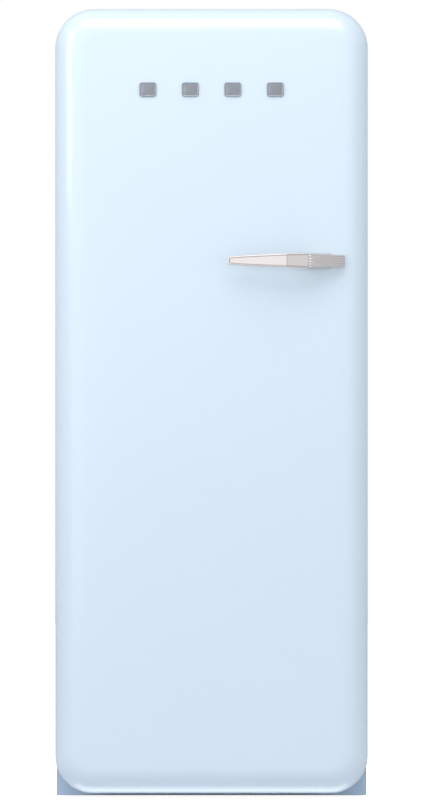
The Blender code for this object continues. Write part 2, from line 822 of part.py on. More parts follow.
def door_bins():
    """Open bins that hang in the well, each with a wire rail in front."""
    for name, low, high in (("bottle_bin", 0.172, 0.282), ("middle_bin", 0.560, 0.640), ("upper_bin", 0.860, 0.940)):
        tray(name, (-BIN_X, BIN_BACK, low), (BIN_X, BIN_FRONT, high), "clear_plastic", radius=0.014)
        z = high + 0.022
        y = BIN_FRONT - 0.005
        x = BIN_X - 0.004
        back = BIN_BACK + 0.006
        rail = [(-x, back, z)]
        rail += bend((-x + RAIL_BEND, y - RAIL_BEND), RAIL_BEND, 180, 90, 4, lambda u, v, z=z: (u, v, z))
        rail += bend((x - RAIL_BEND, y - RAIL_BEND), RAIL_BEND, 90, 0, 4, lambda u, v, z=z: (u, v, z))
        rail.append((x, back, z))
        tube(name + "_rail", rail, 0.0025, "chrome")
    tray("dairy_bin", (-BIN_X, BIN_BACK, 1.165), (BIN_X, BIN_FRONT, 1.2535), "clear_plastic", radius=0.014)
    lid = block((-BIN_X, BIN_BACK, 1.2555), (BIN_X, BIN_FRONT + 0.003, 1.2585))
    lip = block((-BIN_X, BIN_FRONT + GAP, 1.235), (BIN_X, BIN_FRONT + 0.003, 1.2585))
    cover = place("dairy_lid", lid, "clear_plastic", (0, LID_HINGE_Y, LID_HINGE_Z))
    join(cover, place("dairy_lid_lip", lip, None))


# Fittings of the food compartment


def freezer():
    """Aluminium box that is also the evaporator, with its own insulated flap."""
    x = SHELF_X
    top = LINER_TOP - PLASTIC - 0.002
    bm = open_at(block((-x, FREEZER_FRONT, FREEZER_BOTTOM), (x, SHELF_BACK, top), 0.012), 1, FREEZER_FRONT)
    solidify(place("freezer_box", bm, "aluminium"), 0.003)
    hinge = (FLAP_HINGE_X, FLAP_HINGE_Y, (FREEZER_BOTTOM + top) / 2)
    half = FLAP_THICKNESS / 2
    round_end = bend(hinge[:2], half, 90, 270, 6, lambda u, v: (u, v))
    outline = [*round_end, (x, FLAP_HINGE_Y - half), (x, FLAP_HINGE_Y + half)]
    flap = prism(outline, FREEZER_BOTTOM + 0.001, top - 0.005, axis=2)
    door = place("freezer_flap", flap, "white_plastic", hinge)
    face = FLAP_HINGE_Y - half
    grip = block((0.150, face - 0.012, 1.270), (0.180, face + 0.001, 1.370), 0.004, 2, front_edges(face - 0.012))
    join(door, place("flap_grip", grip, None))


def front_edges(plane):
    """An edge test for the edges around a front face."""
    return lambda edge: all(abs(v.co.y - plane) < 1e-5 for v in edge.verts)


def shelves():
    for name, level in (("upper", SHELF_UPPER), ("middle", SHELF_MIDDLE)):
        lo = (-SHELF_X, STORE_FRONT + 0.010 + GAP, level)
        place(f"shelf_glass_{name}", block(lo, (SHELF_X, SHELF_BACK, level + GLASS)), "shelf_glass")
        lo = (-SHELF_X, STORE_FRONT, level - 0.004)
        trim = block(lo, (SHELF_X, STORE_FRONT + 0.010, level + GLASS + 0.004), 0.002)
        place(f"shelf_trim_{name}", trim, "aluminium")
    for name, level in (("chill_cover_glass", CHILL_COVER), ("crisper_cover_glass", CRISPER_COVER)):
        place(name, block((-SHELF_X, STORE_FRONT, level), (SHELF_X, SHELF_BACK, level + GLASS)), "shelf_glass")


def bottle_rack():
    """Chromed wires welded to two cross bars."""
    radius = 0.003
    z = RACK_HEIGHT + radius
    cross = []
    for y in (STORE_FRONT + 0.020, STEP_FRONT - 0.020, SHELF_BACK - 0.020):
        cross.append(rod((-SHELF_X, y, z), (SHELF_X, y, z), radius))
    rack = place("bottle_rack", cross[0], "chrome")
    for number, bm in enumerate(cross[1:]):
        join(rack, place(f"rack_cross_{number}", bm, None))
    count = 10
    pitch = 2 * (SHELF_X - 0.020) / (count - 1)
    for number in range(count):
        x = -SHELF_X + 0.020 + number * pitch
        wire = rod((x, STORE_FRONT, z + 0.0045), (x, SHELF_BACK, z + 0.0045), 0.0025)
        join(rack, place(f"rack_wire_{number}", wire, None))


def drawers():
    """Crisper in front of the step, and a chill drawer on the glass above it."""
    for name, low, high, back in (
        ("crisper", 0.112, 0.292, STEP_FRONT - 0.008),
        ("chill_drawer", 0.308, 0.425, SHELF_BACK - 0.006),
    ):
        front = STORE_FRONT + 0.012
        drawer = tray(name, (-0.226, front, low), (0.226, back, high), "clear_plastic", radius=0.012)
        fascia = block((-0.230, front - 0.010, low), (0.230, front + 0.001, high), 0.004, 2, front_edges(front - 0.010))
        join(drawer, place(f"{name}_fascia", fascia, None))


HOUSING_Z = (1.128, 1.190)
HOUSING_FRONT = -0.045
KNOB_X = 0.085
KNOB_Z = 1.158


def controls():
    """Thermostat box under the freezer, with its knob and the lamp's lens."""
    low, high = HOUSING_Z
    lo = (-0.140, HOUSING_FRONT, low)
    box = open_at(block(lo, (0.140, 0.070, high), 0.006), 2, high)
    housing = solidify(place("control_housing", box, "white_plastic"), 0.0025)
    hole = rod((KNOB_X, HOUSING_FRONT - 0.01, KNOB_Z), (KNOB_X, HOUSING_FRONT + 0.01, KNOB_Z), 0.0045, 12)
    cut(housing, place("knob_hole", hole, None))
    axis = (KNOB_X, HOUSING_FRONT, KNOB_Z)
    rear = HOUSING_FRONT - 0.001
    disc = rod((KNOB_X, rear, KNOB_Z), (KNOB_X, rear - 0.008, KNOB_Z), 0.021, 24)
    knob = place("thermostat_knob", disc, "white_plastic", axis)
    grip = block((KNOB_X - 0.004, rear - 0.018, KNOB_Z - 0.019), (KNOB_X + 0.004, rear - 0.007, KNOB_Z + 0.019))
    shaft = rod((KNOB_X, rear - 0.001, KNOB_Z), (KNOB_X, HOUSING_FRONT + 0.012, KNOB_Z), 0.0035, 12)
    join(knob, place("knob_grip", grip, None), place("knob_shaft", shaft, None))
    lens = block((-0.110, -0.030, low - 0.012), (0.030, 0.055, low - GAP), 0.004)
    place("lamp_lens", lens, "clear_plastic")


def main():
    global parts, cutters
    clear_scene()
    parts = new_collection("refrigerator")
    cutters = new_collection("cutters")
    make_materials()
    cabinet_shell()
    cabinet_front_frame()
    cabinet_foam()
    cabinet_liner()
    back_panel()
    machine_bay_panel()
    base_pan()
    feet()
    rollers()
    machine_bay()
    condenser_coil()
    wall_spacers()
    pipes()
    mains_inlet()
    hinge_brackets()
    slots = hinge_slots()
    sockets = hinge_bushes()
    door_skin(slots)
    door_foam(slots, sockets)
    door_liner(slots)
    door_gasket()
    handle()
    badges()
    door_bins()
    freezer()
    shelves()
    bottle_rack()
    drawers()
    controls()


main()
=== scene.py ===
"""Looks of the single-door refrigerator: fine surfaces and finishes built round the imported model.

Metres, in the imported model's frame: X across the front, Y from front (-) to back (+), Z up.
"""

import math

import bpy
import numpy as np
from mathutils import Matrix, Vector


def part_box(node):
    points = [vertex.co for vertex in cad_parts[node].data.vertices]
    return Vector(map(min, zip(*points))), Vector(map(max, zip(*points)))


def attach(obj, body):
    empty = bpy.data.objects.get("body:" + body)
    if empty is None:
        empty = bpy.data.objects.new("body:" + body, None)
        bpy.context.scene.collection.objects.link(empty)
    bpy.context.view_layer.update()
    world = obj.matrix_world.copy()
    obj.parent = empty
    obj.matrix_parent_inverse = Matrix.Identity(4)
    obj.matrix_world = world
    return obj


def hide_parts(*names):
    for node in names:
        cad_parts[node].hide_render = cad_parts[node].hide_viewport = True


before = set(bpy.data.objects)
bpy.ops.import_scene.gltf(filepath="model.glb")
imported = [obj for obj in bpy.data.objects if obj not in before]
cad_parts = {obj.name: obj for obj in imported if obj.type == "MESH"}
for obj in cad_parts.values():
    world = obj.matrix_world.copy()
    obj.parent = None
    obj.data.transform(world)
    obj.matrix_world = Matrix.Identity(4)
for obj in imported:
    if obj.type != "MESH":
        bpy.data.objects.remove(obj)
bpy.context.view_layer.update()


def box(node):
    """Lowest and highest corner of a CAD node, as two arrays."""
    lo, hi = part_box(node)
    return np.array(lo), np.array(hi)


# Sizes of the body, read from the frame
SHELL_LO, SHELL_HI = box("cabinet_shell")
SKIN_LO, SKIN_HI = box("door_skin")
HALF = float(SHELL_HI[0])
CABINET_FRONT = float(SHELL_LO[1])
CABINET_BACK = float(SHELL_HI[1])
CABINET_BOTTOM = float(SHELL_LO[2])
TOP = float(SHELL_HI[2])
DOOR_BACK = float(SKIN_HI[1])
DOOR_BOTTOM = float(SKIN_LO[2])
DOOR_MIDDLE = (DOOR_BOTTOM + TOP) / 2

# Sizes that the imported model's facets don't give exactly
TOP_RADIUS = 0.076
BOTTOM_RADIUS = 0.072
EDGE_RADIUS = 0.052
CROWN = 0.005
DOOR_FACE = DOOR_BACK - 0.130 + CROWN
SHEET = 0.0012
PLASTIC = 0.002
GAP = 0.0003
DYKE_X = 0.222
DYKE_BOTTOM = 0.130
DYKE_TOP = 1.415
DYKE_WIDTH = 0.024
DYKE_DRAFT = 0.006
STEP_FRONT = 0.120
STEP_TOP = 0.295
LEDGE_X = 0.2345
LEDGE_FRONT = -0.058
LEDGE_BACK = 0.114
HINGE_PLATE = 0.005
HINGE_SETBACK = 0.022

FINISH = {}


# Shapes: each is (points, four-sided faces, three-sided faces)


def outward(shape):
    """Turns a closed shape's faces round if the volume that they enclose comes out negative."""
    points, quads, tris = shape
    flat = np.concatenate([quads[:, [0, 1, 2]], quads[:, [0, 2, 3]], tris])
    a, b, c = points[flat[:, 0]], points[flat[:, 1]], points[flat[:, 2]]
    if np.einsum("ij,ij->", a, np.cross(b, c)) < 0:
        return points, quads[:, ::-1], tris[:, ::-1]
    return shape


def skin(rings, wrap=True, caps=True, loop=False):
    """A surface over rings[i, j], i along it and j round it. Caps close each end with a fan to its middle.

    With loop, the last ring joins the first, as on a picture frame.
    """
    rings = np.asarray(rings, float)
    rows, columns = rings.shape[:2]
    index = np.arange(rows * columns).reshape(rows, columns)
    if loop:
        index = np.vstack([index, index[:1]])
    beside = np.roll(index, -1, axis=1)
    quads = np.stack([index[:-1], beside[:-1], beside[1:], index[1:]], axis=-1)
    if not wrap:
        quads = quads[:, :-1]
    quads = quads.reshape(-1, 4)
    points = rings.reshape(-1, 3)
    tris = np.empty((0, 3), int)
    if caps and not loop:
        near, far = rings[0].mean(axis=0), rings[-1].mean(axis=0)
        start, end = rows * columns, rows * columns + 1
        points = np.vstack([points, near, far])
        first = np.stack([beside[0], index[0], np.full(columns, start)], axis=-1)
        last = np.stack([index[-1], beside[-1], np.full(columns, end)], axis=-1)
        tris = np.concatenate([first, last])
    return outward((points, quads, tris))


def merged(shapes):
    """Several shapes as one."""
    offset = 0
    points, quads, tris = [], [], []
    for p, q, t in shapes:
        points.append(p)
        quads.append(q + offset)
        tris.append(t + offset)
        offset += len(p)
    return np.concatenate(points), np.concatenate(quads), np.concatenate(tris)


def piece(name, shapes, finish, body, stands_for, sharp=35):
    points, quads, tris = merged(shapes if isinstance(shapes, list) else [shapes])
    corners = np.concatenate([quads.ravel(), tris.ravel()])
    counts = np.concatenate([np.full(len(quads), 4), np.full(len(tris), 3)])
    starts = np.concatenate([[0], np.cumsum(counts)[:-1]])
    mesh = bpy.data.meshes.new(name)
    mesh.vertices.add(len(points))
    mesh.vertices.foreach_set("co", points.astype(np.float32).ravel())
    mesh.loops.add(len(corners))
    mesh.loops.foreach_set("vertex_index", corners.astype(np.int32))
    mesh.polygons.add(len(counts))
    mesh.polygons.foreach_set("loop_start", starts.astype(np.int32))
    mesh.update(calc_edges=True)
    mesh.validate()
    mesh.shade_smooth()
    mesh.set_sharp_from_angle(angle=math.radians(sharp))
    mesh.materials.append(FINISH[finish])
    obj = bpy.data.objects.new(name, mesh)
    bpy.context.scene.collection.objects.link(obj)
    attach(obj, body)
    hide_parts(*stands_for)
    return obj


def baked(obj, sharp=35):
    """Puts a piece's modifiers into its mesh."""
    graph = bpy.context.evaluated_depsgraph_get()
    mesh = bpy.data.meshes.new_from_object(obj.evaluated_get(graph))
    mesh.shade_smooth()
    mesh.set_sharp_from_angle(angle=math.radians(sharp))
    obj.modifiers.clear()
    obj.data = mesh
    return obj


def carved(obj, blocks, plan=0.0005, axis=2, sharp=35):
    """Cuts boxes, given as (lowest corner, highest corner), out of a piece. Plan is their corners' radius."""
    tools = []
    for lo, hi in blocks:
        points, quads, tris = slab(lo, hi, plan, 0.0002, axis)
        mesh = bpy.data.meshes.new("tool")
        mesh.from_pydata(points.tolist(), [], quads.tolist() + tris.tolist())
        tool = bpy.data.objects.new("tool", mesh)
        bpy.context.scene.collection.objects.link(tool)
        modifier = obj.modifiers.new("cut", "BOOLEAN")
        modifier.operation = "DIFFERENCE"
        modifier.solver = "EXACT"
        modifier.object = tool
        tools.append(tool)
    bpy.context.view_layer.update()
    baked(obj, sharp)
    for tool in tools:
        bpy.data.objects.remove(tool)
    return obj


def walled(obj, thickness, sharp=35):
    """Gives an open surface a wall on its inner side."""
    modifier = obj.modifiers.new("wall", "SOLIDIFY")
    modifier.thickness = thickness
    modifier.offset = -1.0
    bpy.context.view_layer.update()
    return baked(obj, sharp)


def outline(x0, x1, z0, z1, low, high, arc=16, run=16):
    """A rectangle with corners of radius low at its bottom and high at its top, as (x, z).

    Each corner is a quarter circle in arc steps, and each side is divided into run steps.
    """
    centres = np.array(
        [[x0 + low, z0 + low], [x1 - low, z0 + low], [x1 - high, z1 - high], [x0 + high, z1 - high]]
    )
    radii = np.array([low, low, high, high])[:, None, None]
    angles = np.radians(np.array([180, 270, 0, 90])[:, None] + np.linspace(0, 90, arc + 1)[None])
    corners = centres[:, None] + radii * np.stack([np.cos(angles), np.sin(angles)], axis=-1)
    share = np.linspace(0, 1, run + 1)[1:-1][None, :, None]
    following = np.roll(corners[:, :1], -1, axis=0)
    sides = corners[:, -1:] * (1 - share) + following * share
    return np.concatenate([corners, sides], axis=1).reshape(-1, 2)


def raised(flat, axis, level):
    """A flat outline put into space at a level on an axis: its points hold the other two axes."""
    return np.insert(np.asarray(flat, float), axis, level, axis=1)


def softened(points, radius, arc=5, closed=False):
    """A bent line with each corner replaced by arc steps of a quadratic curve.

    The curve starts radius before the corner and ends radius after it, and the corner pulls it.
    """
    points = np.asarray(points, float)
    before = np.roll(points, 1, axis=0) - points
    after = np.roll(points, -1, axis=0) - points
    reach_before = np.linalg.norm(before, axis=1, keepdims=True)
    reach_after = np.linalg.norm(after, axis=1, keepdims=True)
    start = points + before / reach_before * np.minimum(radius, 0.45 * reach_before)
    end = points + after / reach_after * np.minimum(radius, 0.45 * reach_after)
    t = np.linspace(0, 1, arc + 1)[None, :, None]
    curves = start[:, None] * (1 - t) ** 2 + 2 * points[:, None] * t * (1 - t) + end[:, None] * t**2
    if closed:
        return curves.reshape(-1, points.shape[1])
    return np.vstack([points[:1], curves[1:-1].reshape(-1, points.shape[1]), points[-1:]])


def slab(lo, hi, plan=0.004, edge=0.001, axis=2, arc=5):
    """A box with corners of radius plan seen along the axis, and both rims rounded by a quarter circle."""
    lo, hi = np.array(lo, float), np.array(hi, float)
    u, v = [i for i in range(3) if i != axis]
    edge = min(edge, (hi[axis] - lo[axis]) / 2.01)
    plan = max(plan, edge * 1.01)
    turn = np.radians(np.linspace(0, 90, arc + 1))
    inset = edge * (1 - np.sin(turn))
    rise = edge * (1 - np.cos(turn))
    insets = np.concatenate([inset, inset[::-1]])
    levels = np.concatenate([lo[axis] + rise, hi[axis] - rise[::-1]])
    rings = []
    for i, level in zip(insets, levels):
        flat = outline(lo[u] + i, hi[u] - i, lo[v] + i, hi[v] - i, plan - i, plan - i, arc, 2)
        rings.append(raised(flat, axis, level))
    return skin(rings)


def vessel(lo, hi, wall=0.0025, plan=0.012, foot=0.008, axis=2, flip=False):
    """An open box: its section runs down the outside, round the foot, and up the inside a wall further in.

    It opens towards the high end of the axis, or towards its low end if flipped.
    """
    lo, hi = np.array(lo, float), np.array(hi, float)
    u, v = [i for i in range(3) if i != axis]
    depth = hi[axis] - lo[axis]
    floor = 3 * foot
    section = softened([(floor, 0), (0, 0), (0, depth), (wall, depth), (wall, wall), (floor, wall)], foot, 6)
    rings = []
    for inset, level in section:
        radius = max(plan - inset, 0.0008)
        flat = outline(lo[u] + inset, hi[u] - inset, lo[v] + inset, hi[v] - inset, radius, radius, 8, 3)
        rings.append(raised(flat, axis, hi[axis] - level if flip else lo[axis] + level))
    return skin(rings)


def turned(profile, centre, axis="Z", steps=48, squash=1.0, ripple=(0, 0.0)):
    """A profile of (radius, height) turned about an axis through the centre.

    Squash widens it across X. Ripple is a number of flutes round its widest part, and their depth.
    A profile that ends where it starts makes a ring.
    """
    profile = np.asarray(profile, float)
    ring = bool(np.allclose(profile[0], profile[-1]))
    if ring:
        profile = profile[:-1]
    angle = np.linspace(0, 2 * math.pi, steps, endpoint=False)
    radius, height = profile[:, :1], profile[:, 1:]
    count, depth = ripple
    wide = radius > 0.8 * radius.max()
    radius = radius - wide * depth * (0.5 - 0.5 * np.cos(count * angle))
    a = radius * np.cos(angle) * squash
    b = radius * np.sin(angle)
    h = np.broadcast_to(height, a.shape)
    order = {"Z": (a, b, h), "X": (h, a, b), "Y": (a, h, b)}[axis]
    return skin(np.stack(order, axis=-1) + np.asarray(centre, float), loop=ring)


def tube(path, radius, flat=(0, 0, 1), sides=16, caps=True):
    """A round bar along a path: each section is a circle across the path, laid out from the vector flat."""
    path = np.asarray(path, float)
    along = np.gradient(path, axis=0)
    along /= np.linalg.norm(along, axis=1, keepdims=True)
    side = np.cross(along, np.asarray(flat, float))
    side /= np.linalg.norm(side, axis=1, keepdims=True)
    up = np.cross(side, along)
    angle = np.linspace(0, 2 * math.pi, sides, endpoint=False)[None, :, None]
    rings = path[:, None] + radius * (np.cos(angle) * side[:, None] + np.sin(angle) * up[:, None])
    return skin(rings, caps=caps)


def bar(start, end, radius, flat=(0, 0, 1), sides=14):
    """A straight round bar with eased ends: circles that shrink over the last part of a radius."""
    start, end = np.asarray(start, float), np.asarray(end, float)
    along = (end - start) / np.linalg.norm(end - start)
    ease = 0.3 * radius
    path = [start, start + along * ease, end - along * ease, end]
    side = np.cross(along, np.asarray(flat, float))
    side /= np.linalg.norm(side)
    up = np.cross(side, along)
    angle = np.linspace(0, 2 * math.pi, sides, endpoint=False)[:, None]
    circle = np.cos(angle) * side + np.sin(angle) * up
    return skin(
        [place + circle * reach for place, reach in zip(path, (radius - ease, radius, radius, radius - ease))]
    )


def extrusion(section, axis, start, end, edge):
    """A closed flat section pushed along an axis. Both ends shrink by edge, along the section's normals."""
    section = np.asarray(section, float)
    beside = np.roll(section, -1, axis=0)
    area = np.sum(section[:, 0] * beside[:, 1] - beside[:, 0] * section[:, 1])
    along = beside - np.roll(section, 1, axis=0)
    along /= np.maximum(np.linalg.norm(along, axis=1, keepdims=True), 1e-9)
    inward = np.stack([-along[:, 1], along[:, 0]], axis=-1) * np.sign(area)
    levels = ((start, edge), (start + edge, 0), (end - edge, 0), (end, edge))
    return skin([raised(section + inward * inset, axis, level) for level, inset in levels])


def divided(points, step):
    """A line with points put in, so that none is further than step from the next."""
    points = np.asarray(points, float)
    reach = np.linalg.norm(np.diff(points, axis=0), axis=1)
    counts = np.maximum(np.ceil(reach / step).astype(int), 1)
    stations = [np.linspace(i, i + 1, count, endpoint=False) for i, count in enumerate(counts)]
    stations = np.concatenate([*stations, [len(points) - 1]])
    return np.stack([np.interp(stations, np.arange(len(points)), column) for column in points.T], axis=-1)


def turned_over(shape):
    """A shape with its faces the other way round."""
    points, quads, tris = shape
    return points, quads[:, ::-1], tris[:, ::-1]


def moulding(section, x, z0, z1, radius, arc=8, run=6):
    """A closed section of (inset, y) carried round a rectangle with round corners."""
    rings = []
    for inset, y in section:
        flat = outline(
            -x + inset, x - inset, z0 + inset, z1 - inset, radius - inset, radius - inset, arc, run
        )
        rings.append(raised(flat, 1, y))
    return skin(rings, loop=True)


# Finishes


def linear(code):
    """A hex sRGB colour as linear red, green, blue and alpha."""
    channels = np.array([int(code[i : i + 2], 16) for i in (1, 3, 5)]) / 255
    curve = np.where(channels <= 0.04045, channels / 12.92, ((channels + 0.055) / 1.055) ** 2.4)
    return (*curve.tolist(), 1.0)


def add(tree, kind, inputs=None, **settings):
    """Adds a node: settings are its properties, inputs its sockets' values or the sockets linked to them."""
    made = tree.nodes.new(kind)
    for key, value in settings.items():
        setattr(made, key, value)
    for key, value in (inputs or {}).items():
        if isinstance(value, bpy.types.NodeSocket):
            tree.links.new(value, made.inputs[key])
        else:
            made.inputs[key].default_value = value
    return made


def new_finish(name, colour, **sockets):
    """A material named for its real counterpart, with values on its shader's sockets. Returns its tree."""
    made = bpy.data.materials.new(name)
    made.use_nodes = True
    shader = made.node_tree.nodes["Principled BSDF"]
    shader.inputs["Base Color"].default_value = linear(colour)
    for key, value in sockets.items():
        shader.inputs[key.replace("_", " ")].default_value = value
    FINISH[name] = made
    return made.node_tree


def drive(tree, socket, value):
    """Links a value to one of the shader's sockets."""
    tree.links.new(value, tree.nodes["Principled BSDF"].inputs[socket])


def position(tree, stretch=(1, 1, 1)):
    """Object coordinates in metres, multiplied by stretch."""
    source = add(tree, "ShaderNodeTexCoord")
    return add(
        tree, "ShaderNodeMapping", {"Vector": source.outputs["Object"], "Scale": stretch}
    ).outputs["Vector"]


def noise(tree, vector, size, detail=2.0):
    """Noise whose blobs are about this many metres across, from 0 to 1."""
    inputs = {"Vector": vector, "Scale": 1 / size, "Detail": detail}
    return add(tree, "ShaderNodeTexNoise", inputs).outputs["Fac"]


def cells(tree, vector, size):
    """A value from 0 to 1 that is constant over each cell of about this many metres."""
    found = add(tree, "ShaderNodeTexVoronoi", {"Vector": vector, "Scale": 1 / size}).outputs["Color"]
    return add(tree, "ShaderNodeSeparateColor", {"Color": found}).outputs["Red"]


def between(tree, value, low, high):
    """A value from 0 to 1 moved to run from low to high."""
    return add(tree, "ShaderNodeMapRange", {"Value": value, "To Min": low, "To Max": high}).outputs["Result"]


def tint(tree, value, first, second):
    """Colours the surface between two colours by a value from 0 to 1."""
    mix = add(tree, "ShaderNodeMix", {"Factor": value}, data_type="RGBA")
    mix.inputs[6].default_value = linear(first)
    mix.inputs[7].default_value = linear(second)
    drive(tree, "Base Color", mix.outputs[2])


def relief(tree, height, depth):
    """Bump of this depth in metres where the height goes from 0 to 1."""
    bump = add(tree, "ShaderNodeBump", {"Height": height, "Distance": depth, "Strength": 1.0})
    drive(tree, "Normal", bump.outputs["Normal"])


def pastel_enamel():
    """Polyester powder enamel on pressed steel: sprayed and stoved, glossy, with a faint orange peel."""
    tree = new_finish(
        "pastel_enamel", "#cbd8e3", Roughness=0.22, IOR=1.5, Coat_Weight=0.5, Coat_Roughness=0.09
    )
    place = position(tree)
    # Tone drifts slowly, so that a large panel isn't flat.
    tint(tree, noise(tree, place, 0.45), "#c9d7e3", "#cddae4")
    # Peel is 3 mm across and a few microns high.
    relief(tree, noise(tree, place, 0.003, 1.0), 0.000005)


def painted_shade_enamel():
    """The same enamel on the front frame, one tone deeper: painted shade, for the frame lying in the door's
    shadow behind the seal.
    """
    # Base colour and its slow drift are a tone deeper than the door's enamel: painted shade.
    tree = new_finish("painted_shade_enamel", "#b4cae2", Roughness=0.30, IOR=1.5)
    place = position(tree)
    tint(tree, noise(tree, place, 0.2), "#b0c7e0", "#b8cde4")
    relief(tree, noise(tree, place, 0.003, 1.0), 0.000006)


def bright_nickel():
    """Nickel-chrome plate on die-cast zinc or wire: polished, with faint wiping marks along it."""
    tree = new_finish("bright_nickel", "#d9d1ce", Metallic=1.0, Roughness=0.2)
    marks = noise(tree, position(tree, (1, 14, 14)), 0.05, 3.0)
    drive(tree, "Roughness", between(tree, marks, 0.15, 0.27))
    relief(tree, noise(tree, position(tree), 0.004), 0.00001)


def satin_nickel():
    """Nickel plate on blasted zinc: reflections are blurred by a fine grain."""
    tree = new_finish("satin_nickel", "#a3a6ac", Metallic=1.0, Roughness=0.34)
    grain = noise(tree, position(tree), 0.0008, 3.0)
    drive(tree, "Roughness", between(tree, grain, 0.30, 0.42))
    relief(tree, grain, 0.000008)


def formed_polystyrene():
    """High-impact polystyrene sheet, vacuum-formed: bright white, half gloss, a light grain from the tool."""
    tree = new_finish("formed_polystyrene", "#eef1f2", Roughness=0.32, IOR=1.59)
    place = position(tree)
    tint(tree, noise(tree, place, 0.3), "#ecf0f1", "#f1f3f4")
    grain = noise(tree, place, 0.0015, 2.0)
    drive(tree, "Roughness", between(tree, grain, 0.28, 0.38))
    relief(tree, grain, 0.00001)


def moulded_polypropylene():
    """Injection-moulded polypropylene: white, slightly waxy, with a fine spark-eroded texture."""
    tree = new_finish("moulded_polypropylene", "#e9ebeb", Roughness=0.42, IOR=1.49, Subsurface_Weight=0.04)
    grain = noise(tree, position(tree), 0.0006, 2.0)
    drive(tree, "Roughness", between(tree, grain, 0.36, 0.50))
    relief(tree, grain, 0.000015)


def clear_polystyrene():
    """Crystal polystyrene: moulded clear with a cold tint, and faint flow waves that bend its reflections."""
    tree = new_finish("clear_polystyrene", "#dbe9f0", Roughness=0.06, IOR=1.59, Alpha=0.36)
    waves = noise(tree, position(tree, (1, 3, 3)), 0.03)
    drive(tree, "Roughness", between(tree, waves, 0.04, 0.10))
    relief(tree, waves, 0.00015)


def frosted_polystyrene():
    """Crystal polystyrene from an etched tool: the grain scatters light, so it hides what is behind it."""
    tree = new_finish("frosted_polystyrene", "#e3edf2", Roughness=0.45, IOR=1.59, Alpha=0.72)
    grain = noise(tree, position(tree), 0.0009, 3.0)
    drive(tree, "Roughness", between(tree, grain, 0.38, 0.55))
    relief(tree, grain, 0.00003)


def tempered_glass():
    """Float glass, tempered: iron turns it faintly green, and rollers leave a very shallow wave."""
    tree = new_finish("tempered_glass", "#cfe6dc", Roughness=0.03, IOR=1.52, Alpha=0.34)
    wave = noise(tree, position(tree, (1, 4, 1)), 0.12)
    tint(tree, wave, "#cbe4da", "#d4e9e0")
    relief(tree, wave, 0.00008)


def seal_rubber():
    """Extruded soft PVC: pale grey and matt, with fine lines along the extrusion."""
    tree = new_finish("seal_rubber", "#b4b8bb", Roughness=0.62, IOR=1.53)
    grain = noise(tree, position(tree, (1, 8, 1)), 0.004)
    tint(tree, grain, "#aeb2b6", "#babdc0")
    relief(tree, grain, 0.00003)


def grey_rubber():
    """Filled natural rubber, moulded: light grey, matt, scuffed a little darker in patches."""
    tree = new_finish("grey_rubber", "#aeb3b8", Roughness=0.7, IOR=1.52)
    scuffs = noise(tree, position(tree), 0.008, 4.0)
    tint(tree, scuffs, "#a2a7ac", "#b8bcc0")
    relief(tree, scuffs, 0.00004)


def black_rubber():
    """Nitrile rubber: moulded, matt, with a greyish bloom in patches."""
    tree = new_finish("black_rubber", "#19191a", Roughness=0.75, IOR=1.52)
    bloom = noise(tree, position(tree), 0.006, 4.0)
    tint(tree, bloom, "#151516", "#27272a")
    relief(tree, bloom, 0.00004)


def black_enamel():
    """Dipped black stoving enamel on steel: half gloss, with small sags."""
    tree = new_finish("black_enamel", "#1d1e20", Roughness=0.34, IOR=1.5)
    sags = noise(tree, position(tree, (1, 1, 0.5)), 0.008, 3.0)
    tint(tree, sags, "#191a1c", "#242629")
    drive(tree, "Roughness", between(tree, sags, 0.28, 0.44))
    relief(tree, sags, 0.00006)


def black_abs():
    """Moulded ABS: charcoal black, with the leather-like grain of its tool."""
    tree = new_finish("black_abs", "#202124", Roughness=0.5, IOR=1.54)
    grain = noise(tree, position(tree), 0.0012, 3.0)
    drive(tree, "Roughness", between(tree, grain, 0.42, 0.60))
    relief(tree, grain, 0.00004)


def galvanised_sheet():
    """Hot-dip galvanised sheet: zinc crystals 12 mm across, each with its own brightness and gloss."""
    tree = new_finish("galvanised_sheet", "#9fa5a9", Metallic=1.0, Roughness=0.42)
    crystal = cells(tree, position(tree), 0.012)
    tint(tree, crystal, "#90979c", "#aeb4b8")
    drive(tree, "Roughness", between(tree, crystal, 0.34, 0.52))
    relief(tree, noise(tree, position(tree), 0.003, 3.0), 0.00002)


def zinc_plate():
    """Electroplated zinc, blue passivated: evenly bright, with a fine grain."""
    tree = new_finish("zinc_plate", "#b3b8bf", Metallic=1.0, Roughness=0.3)
    grain = noise(tree, position(tree), 0.001, 3.0)
    tint(tree, noise(tree, position(tree), 0.02), "#adb2bb", "#bcc0c4")
    drive(tree, "Roughness", between(tree, grain, 0.24, 0.38))


def polyurethane_foam():
    """Rigid foam blown in place: straw-coloured, matt, full of cells under a millimetre."""
    tree = new_finish("polyurethane_foam", "#e2d3a6", Roughness=0.95, IOR=1.4)
    pores = noise(tree, position(tree), 0.0012, 3.0)
    tint(tree, pores, "#d8c794", "#eadfba")
    relief(tree, pores, 0.0003)


def drawn_copper():
    """Drawn copper tube: warm, brighter and darker where it has been handled and has tarnished."""
    tree = new_finish("drawn_copper", "#b8734e", Metallic=1.0, Roughness=0.28)
    tarnish = noise(tree, position(tree), 0.012, 4.0)
    tint(tree, tarnish, "#9a5c3c", "#c98560")
    drive(tree, "Roughness", between(tree, tarnish, 0.20, 0.40))


def rolled_aluminium():
    """Rolled aluminium sheet: satin, with fine lines along the rolling direction."""
    tree = new_finish("rolled_aluminium", "#c6c9cb", Metallic=1.0, Roughness=0.34)
    lines = noise(tree, position(tree, (1, 60, 60)), 0.03, 3.0)
    drive(tree, "Roughness", between(tree, lines, 0.27, 0.43))
    relief(tree, lines, 0.00001)


